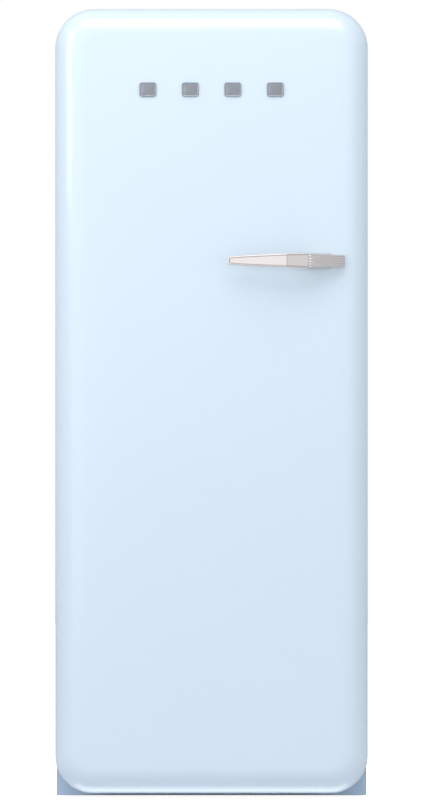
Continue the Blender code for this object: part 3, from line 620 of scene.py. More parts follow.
def make_finishes():
    """Makes every finish once, before the pieces that wear them."""
    pastel_enamel()
    painted_shade_enamel()
    bright_nickel()
    satin_nickel()
    formed_polystyrene()
    moulded_polypropylene()
    clear_polystyrene()
    frosted_polystyrene()
    tempered_glass()
    seal_rubber()
    grey_rubber()
    black_rubber()
    black_enamel()
    black_abs()
    galvanised_sheet()
    zinc_plate()
    polyurethane_foam()
    drawn_copper()
    rolled_aluminium()


# Door


def crown(x, z):
    """Bulge of the door's face: the product of one parabola across it and one up it, nothing at its edges."""
    across = np.maximum(1 - (x / HALF) ** 2, 0)
    upward = np.maximum(1 - ((z - DOOR_MIDDLE) / (TOP - DOOR_MIDDLE)) ** 2, 0)
    return CROWN * across * upward


def door_surface(x, z):
    """Depth of the door's outer face at points on it."""
    over = np.maximum(np.abs(x) - (HALF - EDGE_RADIUS), 0)
    roll = EDGE_RADIUS - np.sqrt(EDGE_RADIUS**2 - over**2)
    return DOOR_FACE - crown(x, z) + roll


def door_ring(inset, y, back=False):
    """The door's outline moved in by inset, at depth y, bulged as the face is unless it is the back edge."""
    low, high = BOTTOM_RADIUS - inset, TOP_RADIUS - inset
    flat = outline(-HALF + inset, HALF - inset, DOOR_BOTTOM + inset, TOP - inset, low, high, 20, 36)
    x, z = flat[:, 0], flat[:, 1]
    depth = np.full(len(x), y) if back else y - crown(x, z)
    return np.stack([x, depth, z], axis=-1)


def door_half(grow):
    """Rings from the door's back edge, round the quarter circle of its edge, to the middle of its face."""
    hem = 0.0015
    rings = [door_ring(hem - grow, DOOR_BACK, True), door_ring(hem * 0.3 - grow, DOOR_BACK - hem * 0.3, True)]
    rings.append(door_ring(-grow, DOOR_BACK - hem, True))
    rings.append(door_ring(-grow, DOOR_BACK - 0.03, True))
    turn = np.radians(np.linspace(0, 90, 29))
    reach = EDGE_RADIUS + grow
    insets = EDGE_RADIUS - reach * np.cos(turn)
    depths = DOOR_FACE + EDGE_RADIUS - reach * np.sin(turn)
    rings += [door_ring(i, y) for i, y in zip(insets, depths)]
    edge = rings[-1]
    for share in np.linspace(1, 0, 26)[1:-1] ** 0.8:
        x, z = edge[:, 0] * share, DOOR_MIDDLE + (edge[:, 2] - DOOR_MIDDLE) * share
        rings.append(np.stack([x, DOOR_FACE - grow - crown(x, z), z], axis=-1))
    return rings


def hinge_slots():
    """The two slots in the door's rear left corner, from the plates that swing in them."""
    found = []
    for node in ("hinge_bush_top", "hinge_bush_bottom"):
        bush_lo, bush_hi = box(node)
        centre = (bush_lo + bush_hi) / 2
        flat = bush_hi[2] + 0.0045 if node.endswith("top") else bush_lo[2] - 0.0045 - HINGE_PLATE
        lo = (-HALF - 0.01, centre[1] - 0.028, flat - 0.004)
        hi = (centre[0] + 0.024, DOOR_BACK + 0.01, flat + 0.009)
        found.append((lo, hi))
    return found


def door_skin():
    """Pressed skin: the outer rings of the door, and the same rings a sheet's thickness further in."""
    rings = door_half(0)[::-1] + door_half(-SHEET)
    skin_piece = piece("door_outer", skin(rings), "pastel_enamel", "door", ["door_skin"], 40)
    carved(skin_piece, hinge_slots(), sharp=40)


BAR_LO, BAR_HI = box("handle_bar")
FOOT_LO, FOOT_HI = box("handle_foot")
HANDLE_Z = float((BAR_LO[2] + BAR_HI[2]) / 2)
RIDGE_X = 0.1435
HANDLE_FRONT = float(BAR_LO[1])


def handle_bar():
    """Lever bar: a rounded rectangle in Y and Z, with a front line, a back line and a half height along X.

    The front line has its ridge eased over a millimetre, and the tip closes along a quarter circle. A groove
    runs inside the front's edge, above, below and at the tip: a V, straight down to its middle and up again.
    """
    tip, base = float(BAR_LO[0]), float(BAR_HI[0])
    nose, ease, groove, inset, bevel = 0.002, 0.0006, 0.0010, 0.0030, 0.0016
    tip_groove = tip + 0.0036
    x = np.concatenate(
        [
            tip + nose * (1 - np.cos(np.linspace(0, np.pi / 2, 7)))[:-1],
            tip_groove + groove * np.array([-1, 0, 1]),
            np.linspace(tip + 0.006, RIDGE_X - 2 * ease, 40),
            np.linspace(RIDGE_X - ease, RIDGE_X + ease, 5),
            np.linspace(RIDGE_X + 2 * ease, base, 24),
        ]
    )
    front = np.interp(x, [tip, RIDGE_X, base], [0.0155, 0.0, 0.0110])
    front = HANDLE_FRONT + front + 0.00012 * np.maximum(1 - np.abs(x - RIDGE_X) / ease, 0)
    back = np.interp(
        x, [tip, RIDGE_X, RIDGE_X + 0.018, base], [0.0235, 0.0130, 0.0200, 0.0340]
    ) + HANDLE_FRONT
    half = np.interp(
        x, [tip, tip + nose, tip + 0.030, RIDGE_X, base], [0.0060, 0.0074, 0.0096, 0.0132, 0.0145]
    )
    share = np.clip((x - tip) / nose, 0, 1)
    close = 0.78 + 0.22 * np.sqrt(1 - (1 - share) ** 2)
    middle = (front + back) / 2
    from_edge = np.array([bevel + 0.0001, inset - groove, inset, inset + groove, inset + 1.5 * groove])
    from_edge = np.concatenate([from_edge, from_edge[::-1]])
    side = np.repeat([1, -1], len(from_edge) // 2)
    along_edge = np.maximum(groove - np.abs(from_edge - inset), 0)
    across_tip = np.maximum(groove - np.abs(x - tip_groove), 0)[:, None] * (from_edge >= inset)
    begun = np.clip((x - tip_groove) / groove + 1, 0, 1)[:, None]
    depth = np.maximum(along_edge * begun, across_tip)
    rings = []
    for xi, f, b, h, m, c, deep in zip(x, front, back, half, middle, close, depth):
        f, b, h = m + (f - m) * c, m + (b - m) * c, h * c
        edge = outline(f, b, -h, h, bevel * c, bevel * c, 6, 1)
        face = np.stack([f + deep, side * (h - from_edge)], axis=-1)
        section = np.vstack([edge, face])
        rings.append(np.stack([np.full(len(section), xi), section[:, 0], HANDLE_Z + section[:, 1]], axis=-1))
    piece("handle_lever", skin(rings), "bright_nickel", "door", ["handle_bar"], 30)


def handle_foot():
    """Ribbed foot: a block with five ribs along its front, and sides that flare down to the door's face."""
    x0, x1 = float(FOOT_LO[0]), float(FOOT_HI[0])
    steps = 60
    x = np.linspace(x0, x1, steps)
    across = np.linspace(-1, 1, 121)
    share = (x - x0) / (x1 - x0)
    half = np.interp(share, [0, 0.62, 0.66, 1.0], [0.0130, 0.0122, 0.0116, 0.0112])
    top = HANDLE_FRONT + 0.0110 + 0.0275 * share**1.15
    rib = 0.00055 * (1 - np.cos(across * math.pi * 5)) * np.clip((0.96 - np.abs(across)) / 0.06, 0, 1)
    ease = np.clip(share / 0.05, 0, 1)[:, None]
    grid_y = top[:, None] + 0.0011 - rib[None] * ease
    grid_y += 0.0022 * np.clip((np.abs(across)[None] - 0.90) / 0.10, 0, 1) ** 2
    grid_z = HANDLE_Z + half[:, None] * across[None]
    flare = np.interp(share, [0, 0.60, 0.68, 1.0], [1.0, 1.0, 0.15, 0.0])[:, None] * 0.0030
    grid_x = np.broadcast_to(x[:, None], grid_y.shape)
    front = np.stack([grid_x, grid_y, grid_z], axis=-1)
    rings = []
    for i in range(steps):
        z_low, z_high = grid_z[i, 0] - flare[i], grid_z[i, -1] + flare[i]
        xi = np.full(1, x[i])
        low = np.stack([xi, door_surface(xi, z_low), z_low], axis=-1)
        high = np.stack([xi, door_surface(xi, z_high), z_high], axis=-1)
        up = np.linspace(0, 1, 8)[1:-1, None]
        right = front[i, -1] * (1 - up) + high * up
        left = low * (1 - up) + front[i, 0] * up
        rings.append(np.vstack([front[i], right, high, low, left]))
    piece("handle_ribbed_foot", skin(rings), "bright_nickel", "door", ["handle_foot"], 45)


def tablets():
    """Four cushion-shaped tablets: a rounded rim, a shallow groove inside it and a slightly domed field."""
    # Millimetres in from the outline, and millimetres above the door.
    rim = [(0.0, 0.0), (0.0, 0.8), (0.15, 1.4), (0.5, 1.85), (1.1, 2.0)]
    groove = [(1.7, 1.9), (2.1, 1.5), (2.6, 1.4)]
    field = [(3.2, 1.5), (6, 1.8), (9, 1.95), (12, 2.0)]
    for number in range(1, 5):
        node = f"badge_{number}"
        lo, hi = box(node)
        back = hi[1]
        rings = []
        for inset, height in rim + groove + field:
            inset, height = inset / 1000, height / 1000
            radius = max(0.005 - inset, 0.0006)
            flat = outline(lo[0] + inset, hi[0] - inset, lo[2] + inset, hi[2] - inset, radius, radius, 8, 6)
            rings.append(raised(flat, 1, back - height))
        piece(f"tablet_{number}", skin(rings), "satin_nickel", "door", [node])


# Cabinet


def cabinet_shell():
    """Folded sheet: a thin section with eased edges, carried up one side, over both shoulders and down."""
    turn = np.radians(np.linspace(0, 90, 33))
    r = TOP_RADIUS
    side = np.linspace(CABINET_BOTTOM, TOP - r, 24)[:-1]
    left = np.stack([np.full(len(side), -HALF), side], axis=-1)
    left_arc = np.stack([-HALF + r - r * np.cos(turn), TOP - r + r * np.sin(turn)], axis=-1)
    path = np.vstack([left, left_arc])
    path = np.vstack([path, (path * (-1, 1))[::-1]])
    inward_side = np.tile([1.0, 0.0], (len(side), 1))
    inward_arc = np.stack([np.cos(turn), -np.sin(turn)], axis=-1)
    inward = np.vstack([inward_side, inward_arc])
    inward = np.vstack([inward, (inward * (-1, 1))[::-1]])
    e = 0.0005
    front, back = CABINET_FRONT, CABINET_BACK
    section = [
        (0, front + e),
        (e, front),
        (SHEET - e, front),
        (SHEET, front + e),
        (SHEET, back - e),
        (SHEET - e, back),
        (e, back),
    ]
    section.append((0, back - e))
    rings = []
    for offset, y in section:
        flat = path + inward * offset
        rings.append(raised(flat, 1, y))
    rings = np.swapaxes(np.array(rings), 0, 1)
    piece("cabinet_wrap", skin(rings), "pastel_enamel", "cabinet", ["cabinet_shell"])


def cabinet_front_frame():
    """Flat painted frame behind the seal: its outside follows the shell, its inside the liner's mouth."""
    inset = SHEET + GAP
    lo, hi = box("cabinet_front_frame")
    liner_lo, liner_hi = box("cabinet_liner")
    outer = outline(
        -HALF + inset, HALF - inset, CABINET_BOTTOM, TOP - inset, 0.001, TOP_RADIUS - inset, 16, 8
    )
    x, z0, z1 = liner_hi[0], liner_lo[2], liner_hi[2]
    inner = outline(-x, x, z0, z1, 0.012, 0.012, 16, 8)
    y0, y1 = lo[1], hi[1]
    rings = []
    for flat, y in ((outer, y0), (inner, y0), (inner, y1), (outer, y1)):
        rings.append(raised(flat, 1, y))
    # The frame's enamel is a tone deeper than the door's: painted shade, for the door's shadow on it.
    piece("front_frame", skin(rings, loop=True), "painted_shade_enamel", "cabinet", ["cabinet_front_frame"])


# Seal and inner door


def door_gasket():
    """Magnetic seal: a bellows section carried round the door, with the box for the magnet at its rear."""
    lo, hi = box("door_gasket")
    base = lo[1]
    door_side = [(3.0, 0.0), (15.0, 0.0), (15.6, 1.2), (12.8, 2.3), (16.4, 3.7), (13.2, 5.2), (17.0, 6.6)]
    magnet_box = [(18.0, 7.4), (18.0, 10.8), (17.2, 11.4), (0.8, 11.4), (0.0, 10.8), (0.0, 7.8)]
    outer_side = [(0.8, 6.8), (3.6, 6.0), (1.2, 4.7), (3.6, 3.4), (1.4, 2.1), (2.4, 0.9)]
    section = softened(np.array(door_side + magnet_box + outer_side) / 1000, 0.0006, 3, closed=True)
    shape = moulding(section + (0, base), float(hi[0]), lo[2], hi[2], 0.020)
    piece("magnetic_seal", shape, "seal_rubber", "door", ["door_gasket"])


def door_liner():
    """Formed sheet: rings run from the border, over the dyke and down into the well, every bend eased."""
    inset = SHEET + GAP
    base, ridge = DOOR_BACK, float(box("door_liner")[1][1])
    rim = (HALF - inset, DOOR_BOTTOM + inset, TOP - inset, BOTTOM_RADIUS - inset, TOP_RADIUS - inset, base)
    rise = np.array([-DYKE_DRAFT, DYKE_DRAFT, -DYKE_DRAFT, -0.004, -0.004, ridge - base])
    outer_foot = np.array([DYKE_X, DYKE_BOTTOM, DYKE_TOP, 0.030, 0.030, base])
    outer_ridge = outer_foot + rise
    inner_ridge = outer_ridge + (-DYKE_WIDTH, DYKE_WIDTH, -DYKE_WIDTH, -0.008, -0.008, 0)
    inner_foot = inner_ridge + (-DYKE_DRAFT, DYKE_DRAFT, -DYKE_DRAFT, -0.004, -0.004, base + 0.006 - ridge)
    middle = inner_foot + (-0.05, 0.05, -0.05, 0, 0, 0)
    line = softened([rim, outer_foot, outer_ridge, inner_ridge, inner_foot, middle], 0.007, 6)
    rings = []
    for x, z0, z1, low, high, y in line:
        flat = outline(-x, x, z0, z1, low, high, 10, 24)
        rings.append(raised(flat, 1, y))
    centre = rings[-1].mean(axis=0)
    for share in (0.6, 0.25, 0.02):
        rings.append(centre + (rings[-1] - centre) * share)
    sheet = turned_over(skin(rings, caps=False))
    made = piece("door_inner_panel", sheet, "formed_polystyrene", "door", ["door_liner"])
    walled(made, PLASTIC)
    carved(made, hinge_slots())


def door_bins():
    """Clear open bins, each with a bright wire rail whose ends sit in white sockets on the inner panel."""
    for name in ("bottle_bin", "middle_bin", "upper_bin", "dairy_bin"):
        lo, hi = box(name)
        shape = vessel(lo, hi, 0.0025, 0.014, 0.008)
        piece(f"{name}_moulding", shape, "clear_polystyrene", "door", [name])
    for name in ("bottle_bin_rail", "middle_bin_rail", "upper_bin_rail"):
        lo, hi = box(name)
        radius = float(hi[2] - lo[2]) / 2
        x, z = hi[0] - radius, (lo[2] + hi[2]) / 2
        front, back = hi[1] - radius, lo[1]
        path = softened([(-x, back, z), (-x, front, z), (x, front, z), (x, back, z)], 0.020, 12)
        piece(f"{name}_wire", tube(path, radius), "bright_nickel", "door", [name])
        sockets = []
        for side in (-1, 1):
            profile = [
                (0.0, 0.0), (0.0050, 0.0), (0.0050, 0.008), (0.0043, 0.0105), (0.0028, 0.011), (0.0, 0.011)
            ]
            sockets.append(
                turned(softened(profile, 0.0006, 3), (side * x * 0.985, back - 0.0075, z), "Y", 24)
            )
        piece(f"{name}_sockets", sockets, "moulded_polypropylene", "door", [name])


def dairy_lid():
    """Lid with a lip over the bin's front: a flat bar's section carried forward, round a bend and down."""
    lo, hi = box("dairy_lid")
    thickness, bend = 0.0026, 0.0045
    angle = np.radians(np.linspace(0, 90, 9))
    outward_line = np.stack([np.sin(angle), np.cos(angle)], axis=-1)
    bent = np.array([hi[1] - bend, hi[2] - bend]) + bend * outward_line
    line = np.vstack([(lo[1], hi[2]), bent, (hi[1], lo[2])])
    outward_line = np.vstack([(0, 1), outward_line, (1, 0)])
    section = outline(lo[0], hi[0], 0, thickness, 0.0011, 0.0011, 4, 1)
    rings = []
    for (y, z), (towards_y, towards_z) in zip(line, outward_line):
        depth = section[:, 1]
        rings.append(np.stack([section[:, 0], y - towards_y * depth, z - towards_z * depth], axis=-1))
    piece("dairy_lid_moulding", skin(rings), "clear_polystyrene", "dairy_lid", ["dairy_lid"])


# Door hinges


def hinge_brackets():
    """A plate with a round nose, its flange against the front frame, the pin and two screw heads."""
    hinges = (("hinge_bracket_top", "top_hinge", False), ("hinge_bracket_bottom", "bottom_hinge", True))
    for node, name, up in hinges:
        lo, hi = box(node)
        bush = node.replace("bracket", "bush")
        bush_lo, bush_hi = box(bush)
        centre = (bush_lo + bush_hi) / 2
        x, y = float(centre[0]), float(centre[1])
        plate = hi[2] - HINGE_SETBACK - HINGE_PLATE if up else lo[2] + HINGE_SETBACK
        plate_lo = (x - 0.011, lo[1], plate)
        plate_hi = (x + 0.013, hi[1], plate + HINGE_PLATE)
        flange_lo = (x - 0.005, hi[1] - 0.003, lo[2] if up else plate)
        flange_hi = (hi[0], hi[1], plate + HINGE_PLATE if up else hi[2])
        start, end = (plate + 0.004, hi[2]) if up else (plate + 0.001, lo[2])
        step = math.copysign(0.001, end - start)
        pin = [(0.0, start), (0.005, start), (0.005, end - step), (0.0042, end), (0.0, end)]
        shapes = [
            slab(plate_lo, plate_hi, 0.010, 0.0006),
            slab(flange_lo, flange_hi, 0.003, 0.0006, axis=1),
            turned(pin, (x, y, 0.0), "Z", 32),
        ]
        for place in (0.010, 0.026):
            level = (flange_lo[2] + flange_hi[2]) / 2 - (0.004 if up else -0.004)
            shapes.append(screw_head((x + place, flange_lo[1], level), "Y", -1))
        piece(name, shapes, "zinc_plate", "cabinet", [node])
        middle, half = (bush_lo[2] + bush_hi[2]) / 2, (bush_hi[2] - bush_lo[2]) / 2
        sleeve = [(0.0057, half), (0.009, half), (0.009, -half), (0.0057, -half)]
        sleeve = softened(sleeve, 0.0006, 3, closed=True)
        shape = turned(np.vstack([sleeve, sleeve[:1]]), (x, y, middle), "Z", 32)
        piece(f"{name}_sleeve", shape, "moulded_polypropylene", "door", [bush])


def screw_head(place, axis="Y", direction=1, radius=0.0038):
    """A low dome, a circle's arc turned about the screw."""
    turn = np.radians(np.linspace(0, 90, 7))
    profile = np.stack([radius * np.cos(turn), direction * 0.0018 * np.sin(turn)], axis=-1)
    return turned(np.vstack([(0.0, 0.0), profile]), place, axis, 20)


# Food compartment


def liner_half():
    """Rings over one half of the formed box, which has a step over the machine bay.

    Its side profile is repeated across the box. Near each side wall it moves in along a quarter circle,
    and the wall itself is the profile drawn in towards a point that all of it can be seen from.
    """
    lo, hi = box("cabinet_liner")
    corners = [
        (lo[1], lo[2]),
        (STEP_FRONT, lo[2]),
        (STEP_FRONT, STEP_TOP),
        (hi[1], STEP_TOP),
        (hi[1], hi[2]),
        (lo[1], hi[2]),
    ]
    profile = divided(softened(corners, 0.016, 6), 0.03)
    along = np.gradient(profile, axis=0)
    along /= np.linalg.norm(along, axis=1, keepdims=True)
    inward = np.stack([-along[:, 1], along[:, 0]], axis=-1)
    inward[0] = inward[1] = (0, 1)
    inward[-1] = inward[-2] = (0, -1)
    radius = 0.014
    turn = np.radians(np.linspace(0, 90, 8))
    seen_from = np.array([0.0, 0.70])
    rows = []
    for share in (0.0, 0.25, 0.5, 0.75):
        rows.append((hi[0], seen_from + (profile + inward * radius - seen_from) * share))
    for angle in turn:
        offset = profile + inward * radius * (1 - math.sin(angle))
        rows.append((hi[0] - radius * (1 - math.cos(angle)), offset))
    rings = []
    for x, flat in rows:
        flat = flat.copy()
        flat[[0, -1], 0] = lo[1]
        rings.append(raised(flat, 0, x))
    for share in np.linspace(1, 0, 9)[1:-1]:
        rings.append(rings[len(rows) - 1] * (share, 1, 1))
    return rings


def cabinet_liner():
    """The half given above, mirrored, with a wall on its inside, and the ledges that the shelves rest on."""
    half = liner_half()
    mirrored = [ring * (-1, 1, 1) for ring in half][::-1]
    shape = skin(half + mirrored, wrap=False, caps=False)
    node = ["cabinet_liner"]
    made = piece("food_compartment", shape, "formed_polystyrene", "cabinet", node)
    walled(made, PLASTIC)
    hi = box("cabinet_liner")[1]
    ledges = []
    for level in shelf_levels():
        for side in (-1, 1):
            inner, outer = side * LEDGE_X, side * (hi[0] - 0.001)
            corner_lo = (min(inner, outer), LEDGE_FRONT, level - 0.0063)
            corner_hi = (max(inner, outer), LEDGE_BACK, level - GAP)
            ledges.append(slab(corner_lo, corner_hi, 0.003, 0.0022))
    piece("shelf_ledges", ledges, "formed_polystyrene", "cabinet", node)


def shelf_levels():
    """Undersides of the shelves, the rack and the two cover glasses."""
    nodes = (
        "shelf_glass_upper", "shelf_glass_middle", "bottle_rack", "chill_cover_glass", "crisper_cover_glass"
    )
    return [float(box(node)[0][2]) for node in nodes]


def shelves():
    """Ground-edge glass sheets, two with an aluminium nosing that has a groove along its front."""
    for node in ("shelf_glass_upper", "shelf_glass_middle", "chill_cover_glass", "crisper_cover_glass"):
        lo, hi = box(node)
        piece(f"{node}_sheet", slab(lo, hi, 0.003, 0.0012), "tempered_glass", "cabinet", [node])
    for node in ("shelf_trim_upper", "shelf_trim_middle"):
        lo, hi = box(node)
        front, back, low, high = lo[1], hi[1], lo[2], hi[2]
        groove = (low + high) / 2
        section = [
            (back, low),
            (front, low),
            (front, groove - 0.0015),
            (front + 0.0012, groove - 0.0008),
            (front + 0.0012, groove + 0.0008),
            (front, groove + 0.0015),
            (front, high),
            (back, high),
        ]
        shape = extrusion(softened(section, 0.0014, 3, closed=True), 0, lo[0], hi[0], 0.0008)
        piece(f"{node}_nosing", shape, "rolled_aluminium", "cabinet", [node])


def bottle_rack():
    """Plated wires on three cross bars, each a straight bar with eased ends."""
    lo, hi = box("bottle_rack")
    cross_z, wire_z = lo[2] + 0.003, hi[2] - 0.0025
    inside = 0.020
    shapes = []
    for y in (lo[1] + inside, STEP_FRONT - inside, hi[1] - inside):
        shapes.append(bar((lo[0], y, cross_z), (hi[0], y, cross_z), 0.003))
    for x in np.linspace(lo[0] + inside, hi[0] - inside, 10):
        shapes.append(bar((x, lo[1], wire_z), (x, hi[1], wire_z), 0.0025, flat=(1, 0, 0)))
    piece("wire_rack", shapes, "bright_nickel", "cabinet", ["bottle_rack"])


def drawers():
    """Clear drawers with a thicker front that has a finger recess along its upper edge."""
    for node in ("crisper", "chill_drawer"):
        lo, hi = box(node)
        tub = vessel(
            (lo[0] + 0.004, lo[1] + 0.010, lo[2]), (hi[0] - 0.004, hi[1], hi[2]), 0.0025, 0.012, 0.008
        )
        piece(f"{node}_tub", tub, "clear_polystyrene", node, [node])
        front = slab(lo, (hi[0], lo[1] + 0.0105, hi[2]), 0.008, 0.0035, axis=1)
        made = piece(f"{node}_front", front, "frosted_polystyrene", node, [node])
        recess_lo = (-0.090, lo[1] - 0.01, hi[2] - 0.036)
        recess_hi = (0.090, lo[1] + 0.0065, hi[2] - 0.016)
        carved(made, [(recess_lo, recess_hi)], plan=0.009, axis=1)


def freezer():
    """Evaporator box of rolled sheet, and its insulated flap with a moulded grip."""
    lo, hi = box("freezer_box")
    shape = vessel(lo, hi, 0.003, 0.014, 0.012, axis=1, flip=True)
    piece("evaporator_box", shape, "rolled_aluminium", "cabinet", ["freezer_box"])
    lo, hi = box("freezer_flap")
    panel_front = hi[1] - 0.018
    panel = slab((lo[0], panel_front, lo[2]), hi, 0.009, 0.006, axis=1)
    field = slab(
        (lo[0] + 0.022, panel_front - 0.0012, lo[2] + 0.022),
        (hi[0] - 0.022, panel_front + 0.002, hi[2] - 0.022),
        0.010,
        0.001,
        axis=1,
    )
    grip = slab((0.150, lo[1], 1.270), (0.180, panel_front + 0.001, 1.370), 0.008, 0.005, axis=1)
    piece(
        "freezer_flap_panel",
        [panel, field, grip],
        "moulded_polypropylene",
        "freezer_flap",
        ["freezer_flap"],
    )


def controls():
    """Thermostat housing, a fluted knob with a finger bar, dots round it, and the lamp's ribbed lens."""
    lo, hi = box("control_housing")
    shape = vessel(lo, hi, 0.0025, 0.010, 0.006)
    piece("thermostat_housing", shape, "formed_polystyrene", "cabinet", ["control_housing"])
    knob_lo, knob_hi = box("thermostat_knob")
    x, z = (knob_lo[0] + knob_hi[0]) / 2, (knob_lo[2] + knob_hi[2]) / 2
    rear, radius = lo[1] - 0.001, (knob_hi[0] - knob_lo[0]) / 2
    profile = softened([(0.0, 0.0), (radius, 0.0), (radius, -0.008), (0.0, -0.008)], 0.0015, 4)
    disc = turned(profile, (x, rear, z), "Y", 96, ripple=(24, 0.0006))
    grip = slab(
        (x - 0.004, knob_lo[1], z - 0.0185), (x + 0.004, rear - 0.006, z + 0.0185), 0.0038, 0.002, axis=1
    )
    piece("thermostat_dial", [disc, grip], "moulded_polypropylene", "thermostat_knob", ["thermostat_knob"])
    pointer = slab(
        (x - 0.0008, knob_lo[1], z + 0.006),
        (x + 0.0008, knob_lo[1] + 0.001, z + 0.017),
        0.0006,
        0.0002,
        axis=1,
    )
    piece("thermostat_pointer", pointer, "black_abs", "thermostat_knob", ["thermostat_knob"])
    dots = []
    for angle in np.radians(np.linspace(-30, 210, 7)):
        place = (x + 0.0255 * math.cos(angle), lo[1], z + 0.0255 * math.sin(angle))
        dots.append(screw_head(place, "Y", -0.3, 0.0012))
    piece("thermostat_scale", dots, "black_abs", "cabinet", ["control_housing"])
    lo, hi = box("lamp_lens")
    shapes = [slab((lo[0], lo[1], lo[2] + 0.001), hi, 0.008, 0.003)]
    for x in np.linspace(lo[0] + 0.012, hi[0] - 0.012, 14):
        shapes.append(
            slab((x - 0.002, lo[1] + 0.006, lo[2]), (x + 0.002, hi[1] - 0.006, lo[2] + 0.003), 0.0015, 0.001)
        )
    piece("lamp_diffuser", shapes, "frosted_polystyrene", "cabinet", ["lamp_lens"])


# Back, machine bay and underside


def back_panel():
    """Flat sheet with round upper corners and a shallow pressed field, fixed by screws round its edge."""
    lo, hi = box("back_panel")
    # Distance in from the outline, and share of the panel's depth.
    rows = [(0.0, 0.0), (0.0, 1.0), (0.020, 1.0), (0.026, 0.35), (0.060, 0.35), (0.064, 1.0), (0.10, 1.0)]
    margin = 0.011
    rings = []
    for inset, height in rows:
        flat = outline(
            lo[0] + inset,
            hi[0] - inset,
            lo[2] + inset,
            hi[2] - inset,
            max(0.002, 0.02 - inset),
            max(0.075 - inset, 0.01),
            10,
            8,
        )
        rings.append(raised(flat, 1, lo[1] + (hi[1] - lo[1]) * height))
    shapes = [skin(rings)]
    for z in np.linspace(lo[2] + 0.03, hi[2] - 0.10, 6):
        for x in (lo[0] + margin, hi[0] - margin):
            shapes.append(screw_head((x, hi[1], z)))
    for x in np.linspace(-0.18, 0.18, 4):
        for z in (lo[2] + margin, hi[2] - margin):
            shapes.append(screw_head((x, hi[1], z)))
    piece("rear_sheet", shapes, "galvanised_sheet", "cabinet", ["back_panel"])


def condenser():
    """Serpentine tube with upright wires welded to both sides of it, and two straps that hold it."""
    lo, hi = box("condenser_coil")
    radius = float(hi[1] - lo[1]) / 2
    y = (lo[1] + hi[1]) / 2
    passes, wires = 13, 38
    wire, overhang = 0.0008, 0.012
    strap_end, strap_width, strap_thickness = 0.262, 0.014, 0.0012
    pitch = (hi[2] - lo[2] - 2 * radius) / (passes - 1)
    straight = hi[0] - radius - pitch / 2
    low = lo[2] + radius
    path = [np.array([[-straight, y, low]])]
    for number in range(passes - 1):
        side = 1 if number % 2 == 0 else -1
        angle = np.radians(np.linspace(-90, 90, 13))
        x = side * (straight + pitch / 2 * np.cos(angle))
        z = low + (number + 0.5) * pitch + pitch / 2 * np.sin(angle)
        path.append(np.stack([x, np.full(13, y), z], axis=-1))
    path.append(np.array([[straight, y, hi[2] - radius]]))
    shapes = [tube(np.vstack(path), radius, (0, 1, 0), 12)]
    for x in np.linspace(-straight, straight, wires):
        for side in (-1, 1):
            level = y + side * (radius + wire * 0.8)
            shapes.append(bar((x, level, lo[2] - overhang), (x, level, hi[2] + overhang), wire, (0, 1, 0), 8))
    strap = y + radius + 2 * wire
    for z in (low + 0.5 * pitch, hi[2] - radius - 0.25 * pitch):
        strap_lo = (-strap_end, strap, z - strap_width / 2)
        strap_hi = (strap_end, strap + strap_thickness, z + strap_width / 2)
        shapes.append(slab(strap_lo, strap_hi, 0.003, 0.0003, axis=1))
    piece("condenser_grille", shapes, "black_enamel", "cabinet", ["condenser_coil"])
    blocks = []
    z = low + 0.5 * pitch
    for x in (0.008 - strap_end, strap_end - 0.008):
        block_lo = (x - 0.008, CABINET_BACK + GAP, z - 0.012)
        block_hi = (x + 0.008, strap, z + 0.012)
        blocks.append(slab(block_lo, block_hi, 0.004, 0.001, axis=1))
    piece("condenser_blocks", blocks, "black_abs", "cabinet", ["condenser_coil"])


def rear_fittings():
    """Stand-offs at the top of the condenser, and the grommet where the mains lead enters."""
    for node in ("wall_spacer_left", "wall_spacer_right"):
        lo, hi = box(node)
        flange = slab(lo, (hi[0], lo[1] + 0.004, hi[2]), 0.005, 0.001, axis=1)
        post_lo = (lo[0] + 0.004, lo[1], lo[2] + 0.008)
        post_hi = (hi[0] - 0.004, hi[1], hi[2] - 0.008)
        shapes = [flange, slab(post_lo, post_hi, 0.006, 0.002, axis=1)]
        piece(f"{node}_moulding", shapes, "black_abs", "cabinet", [node])
    lo, hi = box("mains_inlet")
    centre = ((lo[0] + hi[0]) / 2, lo[1], (lo[2] + hi[2]) / 2)
    radius, length = (hi[0] - lo[0]) / 2, hi[1] - lo[1]
    profile = [(0.0, 0.0), (radius, 0.0), (radius, 0.003), (radius * 0.72, 0.004)]
    for ring in range(3):
        start = 0.005 + ring * 0.003
        profile += [(radius * 0.68, start), (radius * 0.60, start + 0.001), (radius * 0.66, start + 0.002)]
    profile += [(radius * 0.58, length), (0.0, length)]
    piece(
        "lead_grommet",
        turned(softened(profile, 0.0006, 3), centre, "Y", 32),
        "black_rubber",
        "cabinet",
        ["mains_inlet"],
    )


